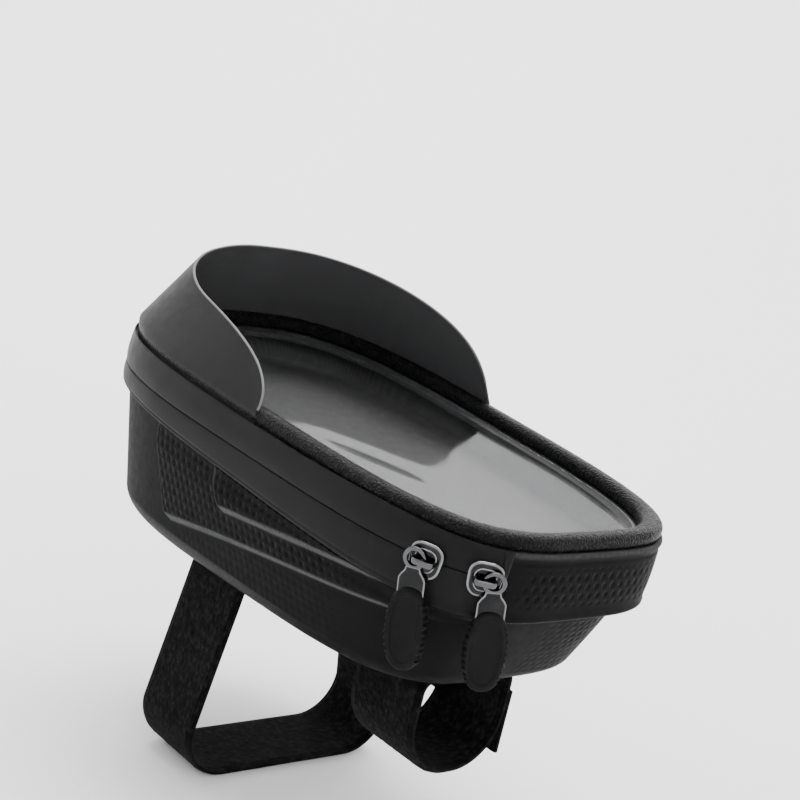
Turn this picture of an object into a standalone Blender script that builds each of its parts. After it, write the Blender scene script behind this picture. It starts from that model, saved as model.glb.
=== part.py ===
"""Hard-shell phone bag for the top tube of a bicycle.

X is across the bag, +Y is forward (to the handlebar) and +Z is up.
The rubber pad's underside is at Z = 0 and sits on the top tube.
Sizes are in millimetres and are turned into metres when a mesh is made.
"""
import bpy
import bmesh
import math
from mathutils import Matrix, Vector

MM = 0.001

# Plan outline of the zip band, seen from above
BAG_LENGTH = 188.0
BAG_WIDTH = 104.0
FRONT_SQUARENESS = 3.2
REAR_SQUARENESS = 3.9
FRONT_WIDENING = 0.05

# Heights
PAD_THICKNESS = 4.2
PAD_HALF_WIDTH = 19.0
RIM_HEIGHT = 64.0
LID_SLOPE = 0.062
ZIP_BELOW_RIM = 13.6
ZIP_SPREAD = 0.016
BAND_HEIGHT = 22.5
BAND_SPREAD = 0.019
WALL_RAKE = 0.11

# Moulded shell
WALL = 2.5
SHELL_INSET = 2.2
REAR_STEP = 3.6
REAR_STEP_DEPTH = 0.12
SIDE_DRAFT = 5.5
FRONT_DRAFT = 7.0
REAR_DRAFT = 14.0
REAR_CURVE = 1.15
BOTTOM_RADIUS = 9.0
PANEL_STEP = 2.0
PANEL_BEVEL = 2.8
PANEL_FADE = 0.55
LOW_PANEL_FRONT = 64.0
LOW_PANEL_FOOT = 0.24
HIGH_PANEL_FRONT = 42.0
HIGH_PANEL_FOOT = 0.60

# Zip
BAND_THICKNESS = 1.0
ZIP_SLIT = 1.7
TOOTH_PITCH = 4.0
TOOTH_GAP = 0.3
TOOTH_REACH = 0.45
TEETH_THICKNESS = 1.4
ZIP_LEFT_END_FROM_REAR = 29.0
ZIP_RIGHT_END_FROM_REAR = 56.0
HINGE_ABOVE_ZIP = 4.2
GAP = 0.35

# Lid
BEAD_WIDTH = 5.4
BEAD_HEIGHT = 4.8
FLANGE_INSET = 10.0
FLANGE_THICKNESS = 1.6
WINDOW_THICKNESS = 0.5
WINDOW_CROWN = 1.2
TRAY_DEPTH = 10.5
TRAY_WALL = 0.9
VISOR_HEIGHT = 32.0
VISOR_LEFT_HEIGHT = 23.5
VISOR_CREST_RUN = 75.0
VISOR_SLOPE = 0.58
VISOR_THICKNESS = 0.8
VISOR_LEFT_END_Y = -5.0
VISOR_RIGHT_END_Y = 5.5
VISOR_LEFT_ROUNDING = 3.0
VISOR_RIGHT_ROUNDING = 4.5

# Sliders and pulls
FRONT_SLIDER_FROM_REAR = 17.5
REAR_SLIDER_FROM_REAR = 5.8
SLIDER_LENGTH = 9.2
SLIDER_HEIGHT = 9.8
SLIDER_THICKNESS = 1.3
SLIDER_CLEARANCE = 0.8
STEM_LENGTH = 4.8
STEM_HEIGHT = 0.9
BAIL_BAR = 1.3
BAIL_RISE = 3.0
EYE_OUTER = 3.2
EYE_HOLE = 1.9
PLATE_THICKNESS = 1.0
PLATE_WIDTH = 7.6
PLATE_LENGTH = 12.0
GRIP_LENGTH = 22.4
GRIP_WIDTH = 11.8
GRIP_THICKNESS = 3.8
GRIP_NOTCHES = 9
PULL_TILT = 8.0

# Straps
STRAP_WIDTH = 28.0
STRAP_THICKNESS = 1.8
FRONT_STRAP_Y = 22.5
FRONT_LOOP_HALF = 33.0
FRONT_LOOP_FLARE = 8.0
FRONT_LOOP_DROP = 62.0
REAR_STRAP_Y = -47.0
REAR_LOOP_HALF = 18.5
REAR_LOOP_DROP = 28.0
STRAP_END_LENGTH = 20.0

PLAN_STEPS = 44


def clear_scene():
    for obj in list(bpy.data.objects):
        bpy.data.objects.remove(obj, do_unlink=True)


def make_material(name, color, roughness, metallic=0.0, alpha=1.0):
    mat = bpy.data.materials.new(name)
    mat.use_nodes = True
    bsdf = mat.node_tree.nodes["Principled BSDF"]
    bsdf.inputs["Base Color"].default_value = (*color, 1.0)
    bsdf.inputs["Roughness"].default_value = roughness
    bsdf.inputs["Metallic"].default_value = metallic
    bsdf.inputs["Alpha"].default_value = alpha
    return mat


def make_object(name, points, faces, mat, smooth=True, angle=35.0):
    """Makes one closed mesh from points in millimetres."""
    mesh = bpy.data.meshes.new(name)
    mesh.from_pydata([tuple(c * MM for c in p) for p in points], [], faces)
    bm = bmesh.new()
    bm.from_mesh(mesh)
    bmesh.ops.recalc_face_normals(bm, faces=bm.faces)
    bm.to_mesh(mesh)
    bm.free()
    if smooth:
        mesh.shade_smooth()
        mesh.set_sharp_from_angle(angle=math.radians(angle))
    mesh.materials.append(mat)
    obj = bpy.data.objects.new(name, mesh)
    bpy.context.scene.collection.objects.link(obj)
    return obj


def ring_faces(a, b, count, closed=True):
    """Quads between two rings that start at vertices a and b."""
    last = count if closed else count - 1
    return [(a + i, a + (i + 1) % count, b + (i + 1) % count, b + i) for i in range(last)]


def loft(name, rings, mat, loop=False, raked=True, **kw):
    """A skin over closed rings; loop joins the last ring to the first, otherwise both are capped."""
    count = len(rings[0])
    points = [rake(p) if raked else p for ring in rings for p in ring]
    faces = []
    for r in range(len(rings) - 1):
        faces += ring_faces(r * count, (r + 1) * count, count)
    if loop:
        faces += ring_faces((len(rings) - 1) * count, 0, count)
    else:
        faces.append(tuple(range(count)))
        faces.append(tuple(range((len(rings) - 1) * count, len(rings) * count)))
    return make_object(name, points, faces, mat, **kw)


def half_plan():
    """Right half of the band's outline from front centre to rear centre, evenly walked."""
    fine = []
    for i in range(721):
        a = math.pi * i / 720
        n = FRONT_SQUARENESS if a < math.pi / 2 else REAR_SQUARENESS
        y = 0.5 * BAG_LENGTH * math.copysign(abs(math.cos(a)) ** (2 / n), math.cos(a))
        widen = 1.0 + FRONT_WIDENING * 2 * y / BAG_LENGTH
        fine.append((0.5 * BAG_WIDTH * abs(math.sin(a)) ** (2 / n) * widen, y))
    return fine


def walk(fine, stops):
    """Points on a fine line at the given distances along it."""
    out = []
    run = 0.0
    k = 0
    for s in stops:
        while k < len(fine) - 2 and run + math.dist(fine[k], fine[k + 1]) < s:
            run += math.dist(fine[k], fine[k + 1])
            k += 1
        step = math.dist(fine[k], fine[k + 1])
        t = min(1.0, max(0.0, (s - run) / step))
        out.append(tuple(fine[k][j] + t * (fine[k + 1][j] - fine[k][j]) for j in (0, 1)))
    return out


HALF = half_plan()
HALF_LENGTH = sum(math.dist(HALF[i], HALF[i + 1]) for i in range(len(HALF) - 1))


def distance_at(y_value):
    """Distance from front centre along the right side to where the outline reaches y_value."""
    run = 0.0
    for i in range(len(HALF) - 1):
        if HALF[i + 1][1] <= y_value:
            part = (HALF[i][1] - y_value) / (HALF[i][1] - HALF[i + 1][1])
            return run + part * math.dist(HALF[i], HALF[i + 1])
        run += math.dist(HALF[i], HALF[i + 1])
    return run


def closed_plan(extra=()):
    """The whole outline: right half, then its mirror image on the left."""
    stops = [HALF_LENGTH * i / PLAN_STEPS for i in range(PLAN_STEPS + 1)]
    for e in extra:
        stops = [s for s in stops if abs(s - e) > 1.2 or s in (0.0, HALF_LENGTH)]
    stops = sorted(stops + list(extra))
    right = walk(HALF, stops)
    left = [(-x, y) for x, y in right[1:-1]][::-1]
    return right + left


def zip_ends():
    """Signed distances of the zip's left and right ends from front centre."""
    return ZIP_LEFT_END_FROM_REAR - HALF_LENGTH, HALF_LENGTH - ZIP_RIGHT_END_FROM_REAR


def even_stops(start, end, steps):
    return [start + (end - start) * i / steps for i in range(steps + 1)]


def at(s):
    """Point on the outline at a signed distance from front centre (left is negative)."""
    x, y = walk(HALF, [abs(s)])[0]
    return (math.copysign(x, s) if s else 0.0, y)


def inset(p, side, front=None, rear=None):
    """Moves an outline point inwards by scaling about the middle."""
    front = side if front is None else front
    rear = side if rear is None else rear
    k = (BAG_LENGTH - front - rear) / BAG_LENGTH
    return (p[0] * (1 - 2 * side / BAG_WIDTH), p[1] * k + 0.5 * (rear - front))


def rim_z(y):
    return RIM_HEIGHT + LID_SLOPE * y


def zip_z(y):
    return rim_z(y) - ZIP_BELOW_RIM - ZIP_SPREAD * y


def band_low_z(y):
    return rim_z(y) - BAND_HEIGHT + BAND_SPREAD * y


def rake(p):
    """Leans the walls: a point below the rim moves forward, down to the band's lower edge."""
    x, y, z = p
    below = min(BAND_HEIGHT, max(0.0, rim_z(y) - z))
    return (x, y + WALL_RAKE * below, z)


def level(points, side, height, drop=0.0, front=None, rear=None):
    """One ring: inset outline lifted to a height function plus a drop."""
    moved = [inset(p, side, front, rear) for p in points]
    return [(x, y, height(y) + drop) for x, y in moved]


SHELL_BOTTOM = PAD_THICKNESS + GAP


def panel_rise(y_plan, w):
    """How far the stepped panels stand out at an outline point and wall height w."""
    ramp = PANEL_BEVEL
    fade = 1.0 - PANEL_FADE * w
    low = min(1.0, max(0.0, (LOW_PANEL_FRONT - y_plan) / ramp))
    low *= min(1.0, max(0.0, (w - LOW_PANEL_FOOT) / 0.05))
    high = min(1.0, max(0.0, (HIGH_PANEL_FRONT - y_plan) / ramp))
    high *= min(1.0, max(0.0, (w - HIGH_PANEL_FOOT) / 0.05))
    return PANEL_STEP * fade * (low + 1.3 * high)


def wall_ring(plan, w, extra=0.0, panels=True, floor=0.0):
    """Ring of the moulded wall at height w, from 0 at the bottom to 1 at the band."""
    ring = []
    for p in plan:
        rise = panel_rise(p[1], w) if panels else 0.0
        side = SHELL_INSET + SIDE_DRAFT * (1 - w) + extra - rise
        front = SHELL_INSET + FRONT_DRAFT * (1 - w) + extra - rise
        step = REAR_STEP * min(1.0, (1 - w) / REAR_STEP_DEPTH)
        rear = SHELL_INSET + step + REAR_DRAFT * (1 - w) ** REAR_CURVE + extra - rise
        x, y = inset(p, side, front, rear)
        base = SHELL_BOTTOM + floor
        ring.append((x, y, base + w * (band_low_z(y) - GAP - base)))
    return ring


def build_shell(mats):
    edges = []
    for y in (LOW_PANEL_FRONT, HIGH_PANEL_FRONT):
        edges += [distance_at(y), distance_at(y - PANEL_BEVEL)]
    plan = closed_plan(edges)
    rings = []
    for i in range(5):
        a = math.pi / 2 * i / 5
        ring = wall_ring(plan, 0.0, extra=BOTTOM_RADIUS * (1 - math.sin(a)), panels=False)
        low = BOTTOM_RADIUS * (1 - math.cos(a)) * 0.8
        rings.append([(x, y, SHELL_BOTTOM + low) for x, y, z in ring])
    foot = 0.20
    heights = [foot, LOW_PANEL_FOOT, LOW_PANEL_FOOT + 0.05, 0.42, HIGH_PANEL_FOOT]
    heights += [HIGH_PANEL_FOOT + 0.05, 0.76, 1.0 - REAR_STEP_DEPTH, 1.0]
    rings += [wall_ring(plan, w) for w in heights]
    under_band = BAND_THICKNESS + GAP + 0.1
    top = -2.9
    rings.append(level(plan, under_band, band_low_z, -GAP))
    rings.append(level(plan, under_band, zip_z, top))
    rings.append(level(plan, under_band + WALL, zip_z, top))
    rings.append(level(plan, under_band + WALL, band_low_z, 1.2))
    for w in (1.0, 1.0 - REAR_STEP_DEPTH, 0.7, 0.5, 0.3, 0.12):
        rings.append(wall_ring(plan, w, extra=WALL + 0.6, panels=False, floor=WALL))
    rings.append([(x, y, SHELL_BOTTOM + WALL) for x, y, z in
                  wall_ring(plan, 0.0, extra=WALL + 5.0, panels=False)])
    return loft("shell", rings, mats["shell"], angle=28)


def strip(name, stops, sections, mat, **kw):
    """A strip along the outline; sections gives the outline of its cut at each stop."""
    points = []
    for s in stops:
        points += [rake(p) for p in sections(s)]
    count = len(sections(stops[0]))
    faces = []
    for i in range(len(stops) - 1):
        faces += ring_faces(i * count, (i + 1) * count, count)
    faces.append(tuple(range(count)))
    faces.append(tuple(range((len(stops) - 1) * count, len(stops) * count)))
    return make_object(name, points, faces, mat, **kw)


def band_section(low, high, outer, inner, soft=0.35):
    """Cut of a band between two height functions, with softened outer edges."""
    def cut(s):
        p = at(s)
        out = []
        for side, height, shift in ((inner, low, 0.0), (outer + soft, low, 0.0), (outer, low, soft),
                                    (outer, high, -soft), (outer + soft, high, 0.0), (inner, high, 0.0)):
            x, y = inset(p, side)
            out.append((x, y, height(y) + shift))
        return out
    return cut


def below_zip(y):
    return zip_z(y) - 0.5 * ZIP_SLIT


def above_zip(y):
    return zip_z(y) + 0.5 * ZIP_SLIT


def groove_z(y):
    return rim_z(y) - BEAD_HEIGHT - 1.0


def build_bands(mats):
    stops = even_stops(*zip_ends(), 88)
    strip("shell_zip_band", stops, band_section(band_low_z, below_zip, 0.0, BAND_THICKNESS), mats["band"])
    strip("lid_zip_band", stops, band_section(above_zip, groove_z, 0.0, BAND_THICKNESS), mats["band"])


def rear_stops(steps):
    """Distances round the rear, from the right seam to the left one, past the rear centre."""
    left, right = zip_ends()
    return even_stops(right + 0.6, 2 * HALF_LENGTH + left - 0.6, steps)


def hinge_z():
    return zip_z(-BAG_LENGTH / 2) + HINGE_ABOVE_ZIP


def at_rear(s):
    return at(s) if s <= HALF_LENGTH else at(-(2 * HALF_LENGTH - s))


def rear_section(low, high, outer, inner):
    def cut(s):
        p = at_rear(s)
        out = []
        for side, height in ((inner, low), (outer, low), (outer, high), (inner, high)):
            x, y = inset(p, side)
            out.append((x, y, height(y)))
        return out
    return cut


def build_rear_panels(mats):
    stops = rear_stops(28)
    lower = rear_section(band_low_z, lambda y: hinge_z() - 0.25, -0.2, BAND_THICKNESS)
    upper = rear_section(lambda y: hinge_z() + 0.25, groove_z, -0.2, BAND_THICKNESS)
    strip("rear_skirt", stops, lower, mats["shell"])
    strip("rear_hinge_panel", stops, upper, mats["shell"])


def build_teeth(mats):
    """Two combs whose teeth stand between each other along the slit."""
    start, end = zip_ends()
    start += 1.0
    end -= 1.0
    count = int((end - start) / TOOTH_PITCH)
    pitch = (end - start) / count
    tooth = 0.5 * pitch - TOOTH_GAP
    slope = 0.12
    front_face = BAND_THICKNESS + GAP
    for name, way, phase in (("shell_zip_teeth", 1, 0.0), ("lid_zip_teeth", -1, 0.5 * pitch)):
        stops = [start - 0.5]
        tips = [False]
        for i in range(count - 1):
            s = start + phase + i * pitch
            stops += [s, s + slope, s + tooth - slope, s + tooth]
            tips += [False, True, True, False]
        stops.append(end + 0.5)
        tips.append(False)
        points = []
        for s, tip in zip(stops, tips):
            reach_z = TOOTH_REACH if tip else -TOOTH_REACH - 0.3
            for side, z in ((front_face, -2.5), (front_face, reach_z),
                                    (front_face + TEETH_THICKNESS, reach_z), (front_face + TEETH_THICKNESS, -2.5)):
                x, y = inset(at(s), side)
                points.append(rake((x, y, zip_z(y) + way * z)))
        faces = []
        for i in range(len(stops) - 1):
            faces += ring_faces(4 * i, 4 * i + 4, 4)
        faces.append((0, 1, 2, 3))
        faces.append(tuple(range(4 * len(stops) - 4, 4 * len(stops))))
        make_object(name, points, faces, mats["zip"], smooth=False)


def build_lid(mats):
    plan = closed_plan()
    outer = BAND_THICKNESS + GAP + 0.1
    top = -BEAD_HEIGHT - GAP
    cut = [(outer, zip_z, 2.9), (outer, rim_z, top), (FLANGE_INSET, rim_z, top),
           (FLANGE_INSET, rim_z, top - FLANGE_THICKNESS), (outer + WALL, rim_z, top - FLANGE_THICKNESS),
           (outer + WALL, zip_z, 2.9)]
    loft("lid_frame", [level(plan, s, h, d) for s, h, d in cut], mats["lid"], loop=True)
    bead = []
    for i in range(10):
        a = 2 * math.pi * i / 10
        across = math.copysign(abs(math.cos(a)) ** 0.8, math.cos(a)) * BEAD_WIDTH / 2
        rise = math.copysign(abs(math.sin(a)) ** 0.8, math.sin(a)) * BEAD_HEIGHT / 2
        bead.append(level(plan, 1.2 + BEAD_WIDTH / 2 - across, rim_z, -BEAD_HEIGHT / 2 + rise))
    loft("rim_bead", bead, mats["grain"], loop=True, angle=60)
    window_edge = 1.2 + BEAD_WIDTH + 0.3
    under = top + 0.3
    lower = [level(plan, s, rim_z, under + WINDOW_CROWN * c)
             for s, c in ((window_edge, 0.0), (12.0, 0.12), (22.0, 0.6), (34.0, 0.92), (44.0, 1.0))]
    upper = [[(x, y, z + WINDOW_THICKNESS) for x, y, z in ring] for ring in lower]
    loft("window_film", lower[::-1] + upper, mats["film"])
    floor = top - FLANGE_THICKNESS - TRAY_DEPTH
    edge = outer + WALL + 0.6
    tray = [level(plan, edge + 4.0, rim_z, floor), level(plan, edge + 0.6, rim_z, floor + 0.8),
            level(plan, edge, rim_z, floor + 3.0), level(plan, edge, rim_z, top - FLANGE_THICKNESS - GAP),
            level(plan, edge + TRAY_WALL, rim_z, top - FLANGE_THICKNESS - GAP),
            level(plan, edge + TRAY_WALL, rim_z, floor + 3.2),
            level(plan, edge + TRAY_WALL + 3.6, rim_z, floor + TRAY_WALL)]
    loft("phone_tray", tray, mats["lining"])


def visor_height(s, left, right):
    """Height of the visor; its left side is lower and rises to the crest at the front."""
    if s >= 0:
        v = min(1.0, s / right)
        return VISOR_HEIGHT * (1 - v ** VISOR_RIGHT_ROUNDING) ** (1 / VISOR_RIGHT_ROUNDING)
    v = min(1.0, s / left)
    t = min(1.0, -s / VISOR_CREST_RUN)
    crest = VISOR_HEIGHT + (VISOR_LEFT_HEIGHT - VISOR_HEIGHT) * t * t * (3 - 2 * t)
    return crest * (1 - v ** VISOR_LEFT_ROUNDING) ** (1 / VISOR_LEFT_ROUNDING)


def build_visor(mats):
    left = -distance_at(VISOR_LEFT_END_Y)
    right = distance_at(VISOR_RIGHT_END_Y)
    foot = -BEAD_HEIGHT - 0.55
    rows = 8
    steps = 56
    stops = []
    for i in range(steps + 1):
        v = 0.997 * math.sin(math.pi / 2 * (2 * i / steps - 1))
        stops.append(v * (right if v > 0 else -left))
    points = []
    for s in stops:
        tall = visor_height(s, left, right)
        section = []
        for inner in (0, 1):
            heights = [tall * j / rows for j in range(rows + 1)]
            for h in (heights if inner == 0 else heights[::-1]):
                lean = VISOR_SLOPE * max(0.0, h - BEAD_HEIGHT)
                x, y = inset(at(s), -0.1 + lean + inner * VISOR_THICKNESS)
                section.append((x, y + WALL_RAKE * BEAD_HEIGHT, rim_z(y) + foot + h))
        points += section
    count = 2 * (rows + 1)
    faces = []
    for i in range(steps):
        faces += ring_faces(i * count, (i + 1) * count, count)
    faces.append(tuple(range(count)))
    faces.append(tuple(range(steps * count, (steps + 1) * count)))
    make_object("sun_visor", points, faces, mats["visor"])


def zip_frame(y_value):
    """Local frame on the left side: forward along the zip, out of the bag, and up."""
    s = -distance_at(y_value)
    behind, origin, ahead = (Vector(rake((*at(d), zip_z(at(d)[1])))) for d in (s - 1.0, s, s + 1.0))
    forward = (ahead - behind).normalized()
    out = Vector((0.0, -WALL_RAKE, 1.0)).cross(forward).normalized()
    up = forward.cross(out)
    return Matrix((
        (forward.x, out.x, up.x, origin.x),
        (forward.y, out.y, up.y, origin.y),
        (forward.z, out.z, up.z, origin.z),
        (0, 0, 0, 1)))


def prism(outline, near, far):
    """Points and faces of a flat outline (forward, up) given thickness along the outward axis."""
    n = len(outline)
    points = [(u, near, v) for u, v in outline] + [(u, far, v) for u, v in outline]
    faces = [tuple(range(n)), tuple(range(n, 2 * n))] + ring_faces(0, n, n)
    return points, faces


def rounded_box(length, height, radius, corner_steps=3):
    out = []
    for cx, cy, start in ((1, 1, 0), (-1, 1, 90), (-1, -1, 180), (1, -1, 270)):
        for i in range(corner_steps + 1):
            a = math.radians(start + 90 * i / corner_steps)
            out.append((cx * (length / 2 - radius) + radius * math.cos(a),
                        cy * (height / 2 - radius) + radius * math.sin(a)))
    return out


def placed(name, points, faces, mat, frame, **kw):
    moved = [tuple(frame @ Vector(p)) for p in points]
    return make_object(name, moved, faces, mat, **kw)


def join_bool(target, other, operation):
    mod = target.modifiers.new(operation.lower(), "BOOLEAN")
    mod.operation = operation
    mod.solver = "EXACT"
    mod.object = other
    other.hide_render = True
    other.display_type = "WIRE"


def build_slider(tag, y_value, eye_way, mats):
    """Slider cast in one with its bail; the pull's eye hangs round the bail's leg."""
    frame = zip_frame(y_value)
    near = SLIDER_CLEARANCE
    far = near + SLIDER_THICKNESS
    shield = rounded_box(SLIDER_LENGTH, SLIDER_HEIGHT, 3.4, 4)
    shield = [(u * (1.0 + 0.02 * v), v) for u, v in shield]
    pts, fcs = prism(shield, near, far)
    slider = placed("slider_" + tag, pts, fcs, mats["metal"], frame)
    half = SLIDER_LENGTH / 2 - 1.4
    top = far + BAIL_RISE
    arch = [(-half, far - 0.5), (-half, top - 1.2), (-half + 1.2, top), (half - 1.2, top),
            (half, top - 1.2), (half, far - 0.5), (half - BAIL_BAR, far - 0.5),
            (half - BAIL_BAR, top - BAIL_BAR - 0.4), (half - BAIL_BAR - 0.5, top - BAIL_BAR),
            (-half + BAIL_BAR + 0.5, top - BAIL_BAR), (-half + BAIL_BAR, top - BAIL_BAR - 0.4),
            (-half + BAIL_BAR, far - 0.5)]
    n = len(arch)
    bar = BAIL_BAR / 2 + 0.35
    pts = [(u, w, -bar) for u, w in arch] + [(u, w, bar) for u, w in arch]
    fcs = [tuple(range(n)), tuple(range(n, 2 * n))] + ring_faces(0, n, n)
    bail = placed("bail_form_" + tag, pts, fcs, mats["metal"], frame)
    join_bool(slider, bail, "UNION")
    stem = [(-STEM_LENGTH / 2, -STEM_HEIGHT / 2), (STEM_LENGTH / 2, -STEM_HEIGHT / 2),
            (STEM_LENGTH / 2, STEM_HEIGHT / 2), (-STEM_LENGTH / 2, STEM_HEIGHT / 2)]
    pts, fcs = prism(stem, -BAND_THICKNESS + 0.15, near + 0.4)
    join_bool(slider, placed("stem_form_" + tag, pts, fcs, mats["metal"], frame), "UNION")
    build_pull(tag, frame, eye_way * (half - BAIL_BAR / 2), far + 0.3, mats)


def build_pull(tag, frame, eye_u, near, mats):
    """Pressed metal plate with a round eye, and the rubber grip moulded round its foot."""
    tilt = Matrix.Translation((eye_u, 0, 0)) @ Matrix.Rotation(math.radians(PULL_TILT), 4, "Y")
    local = frame @ tilt
    half = PLATE_WIDTH / 2
    a0 = math.asin(min(0.95, 2.0 / EYE_OUTER))
    outline = []
    for i in range(17):
        a = -math.pi / 2 + a0 + (2 * math.pi - 2 * a0) * i / 16
        outline.append((EYE_OUTER * math.cos(a), EYE_OUTER * math.sin(a)))
    outline += [(-half + 0.8, -4.4), (-half, -5.4), (-half, -PLATE_LENGTH), (half, -PLATE_LENGTH),
                (half, -5.4), (half - 0.8, -4.4)]
    hole = [(EYE_HOLE * math.cos(2 * math.pi * i / 20), EYE_HOLE * math.sin(2 * math.pi * i / 20))
            for i in range(20)]
    pts, fcs = prism(outline, near, near + PLATE_THICKNESS)
    plate = placed("pull_plate_" + tag, pts, fcs, mats["metal"], local)
    pts, fcs = prism(hole, near - 1.0, near + PLATE_THICKNESS + 1.0)
    hole_form = placed("eye_form_" + tag, pts, fcs, mats["metal"], local)
    join_bool(plate, hole_form, "DIFFERENCE")
    build_grip(tag, local, near, mats)


def build_grip(tag, local, near, mats):
    """Long oval grip with notched sides and a shallow oval recess on its outer face."""
    mid = near + PLATE_THICKNESS / 2
    top = -0.65 * PLATE_LENGTH
    centre = top - GRIP_LENGTH / 2
    count = 96
    rings = []
    half_t = GRIP_THICKNESS / 2
    for scale, depth in ((0.0, 0), (0.86, -1.0), (1.0, -0.55), (1.0, 0.55), (0.86, 1.0),
                         (0.66, 1.0), (0.60, 0.72)):
        if scale == 0.0:
            continue
        ring = []
        for i in range(count):
            a = 2 * math.pi * i / count
            u = GRIP_WIDTH / 2 * math.copysign(abs(math.cos(a)) ** 0.86, math.cos(a))
            v = GRIP_LENGTH / 2 * math.copysign(abs(math.sin(a)) ** 0.9, math.sin(a))
            if scale == 1.0 and abs(v) < GRIP_LENGTH * 0.36:
                wave = math.cos(2 * math.pi * GRIP_NOTCHES * v / (GRIP_LENGTH * 0.72))
                u -= math.copysign(0.45 * (1 - wave), u)
            ring.append((u * scale, mid + depth * half_t, centre + v * (1 - (1 - scale) * 0.55)))
        rings.append(ring)
    points = [p for ring in rings for p in ring]
    faces = []
    for r in range(len(rings) - 1):
        faces += ring_faces(r * count, (r + 1) * count, count)
    faces.append(tuple(range(count)))
    faces.append(tuple(range((len(rings) - 1) * count, len(rings) * count)))
    grip = placed("pull_grip_" + tag, points, faces, mats["rubber"], local, angle=50)
    half = PLATE_WIDTH / 2 + 0.3
    pocket = [(-half, top + 3.0), (half, top + 3.0), (half, -PLATE_LENGTH - 0.3), (-half, -PLATE_LENGTH - 0.3)]
    pts, fcs = prism(pocket, near - 0.3, near + PLATE_THICKNESS + 0.3)
    form = placed("grip_form_" + tag, pts, fcs, mats["rubber"], local)
    join_bool(grip, form, "DIFFERENCE")


def build_pad(mats):
    """Rubber pad along the bottom with two channels that the straps pass through."""
    groove = STRAP_THICKNESS + 0.7
    half_strap = STRAP_WIDTH / 2 + 0.6
    top = PAD_THICKNESS
    rear = REAR_STRAP_Y - half_strap - 3.0
    front = FRONT_STRAP_Y + half_strap + 8.0
    cut = [(rear, 1.2), (rear + 1.2, 0.0), (front - 1.2, 0.0), (front, 1.2), (front, top)]
    for y in (FRONT_STRAP_Y, REAR_STRAP_Y):
        cut += [(y + half_strap, top), (y + half_strap, top - groove),
                (y - half_strap, top - groove), (y - half_strap, top)]
    cut.append((rear, top))
    half = min(PAD_HALF_WIDTH, REAR_LOOP_HALF - 6.0, FRONT_LOOP_HALF - 6.0)
    n = len(cut)
    points = [(-half, y, z) for y, z in cut] + [(half, y, z) for y, z in cut]
    faces = [tuple(range(n)), tuple(range(n, 2 * n))] + ring_faces(0, n, n)
    make_object("bottom_pad", points, faces, mats["rubber"], smooth=False)


def arc(cx, cz, radius, start, end, steps):
    return [(cx + radius * math.cos(math.radians(start + (end - start) * i / steps)),
             cz + radius * math.sin(math.radians(start + (end - start) * i / steps)))
            for i in range(steps + 1)]


def strap_loop(half, flare, drop, low_radius, offset):
    """Closed loop in X and Z, seen from the rear, starting at the top left."""
    top = PAD_THICKNESS - 0.35 + offset
    bend = 5.0 + offset
    low = low_radius + offset
    left = -half - offset
    out = arc(left + bend, top - bend, bend, 90, 180, 5)
    out += arc(left - flare + low, -drop + low_radius, low, 180, 270, 7)
    right = [(-x, z) for x, z in out][::-1]
    return out + right


def build_strap(name, y, half, flare, drop, low_radius, mats):
    outer = strap_loop(half, flare, drop, low_radius, 0.0)
    inner = strap_loop(half, flare, drop, low_radius, -STRAP_THICKNESS)
    low = y - STRAP_WIDTH / 2
    high = y + STRAP_WIDTH / 2
    rings = [[(x, yy, z) for x, z in line] for line, yy in
             ((outer, low), (outer, high), (inner, high), (inner, low))]
    loft(name, rings, mats["strap"], loop=True, raked=False)
    start = -drop * 0.16
    run = PAD_THICKNESS - 5.35 + drop - low_radius
    slope = flare / run
    foot = start - STRAP_END_LENGTH
    end = []
    for off, z in ((0.3, start), (0.3 + STRAP_THICKNESS, start), (0.3 + STRAP_THICKNESS, foot), (0.3, foot)):
        end.append((half + off + slope * (PAD_THICKNESS - 5.35 - z), z))
    n = len(end)
    points = [(x, low + 0.5, z) for x, z in end] + [(x, high - 0.5, z) for x, z in end]
    faces = [tuple(range(n)), tuple(range(n, 2 * n))] + ring_faces(0, n, n)
    make_object(name + "_end", points, faces, mats["strap"], smooth=False)


def main():
    clear_scene()
    mats = {
        "shell": make_material("eva_shell", (0.030, 0.030, 0.032), 0.62),
        "band": make_material("coated_band", (0.055, 0.055, 0.058), 0.42),
        "lid": make_material("lid_board", (0.030, 0.030, 0.032), 0.60),
        "grain": make_material("grained_rim", (0.035, 0.035, 0.037), 0.50),
        "film": make_material("window_film", (0.85, 0.88, 0.90), 0.06, 0.0, 0.25),
        "lining": make_material("tray_lining", (0.045, 0.045, 0.048), 0.75),
        "visor": make_material("visor_sheet", (0.030, 0.030, 0.032), 0.45),
        "zip": make_material("zip_coil", (0.020, 0.020, 0.022), 0.50),
        "metal": make_material("gunmetal", (0.28, 0.28, 0.30), 0.28, 1.0),
        "rubber": make_material("black_rubber", (0.025, 0.025, 0.026), 0.70),
        "strap": make_material("strap_pile", (0.028, 0.028, 0.030), 0.92),
    }
    build_shell(mats)
    build_bands(mats)
    build_rear_panels(mats)
    build_teeth(mats)
    build_lid(mats)
    build_visor(mats)
    build_slider("front", FRONT_SLIDER_FROM_REAR - BAG_LENGTH / 2, 1, mats)
    build_slider("rear", REAR_SLIDER_FROM_REAR - BAG_LENGTH / 2, -1, mats)
    build_pad(mats)
    build_strap("front_strap", FRONT_STRAP_Y, FRONT_LOOP_HALF, FRONT_LOOP_FLARE,
                FRONT_LOOP_DROP, 16.0, mats)
    build_strap("rear_strap", REAR_STRAP_Y, REAR_LOOP_HALF, 0.0, REAR_LOOP_DROP, 17.0, mats)


main()
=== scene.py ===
"""Looks of the bike phone bag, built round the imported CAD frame."""
import math

import bmesh
import bpy
import numpy as np
from mathutils import Matrix, Vector


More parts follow.
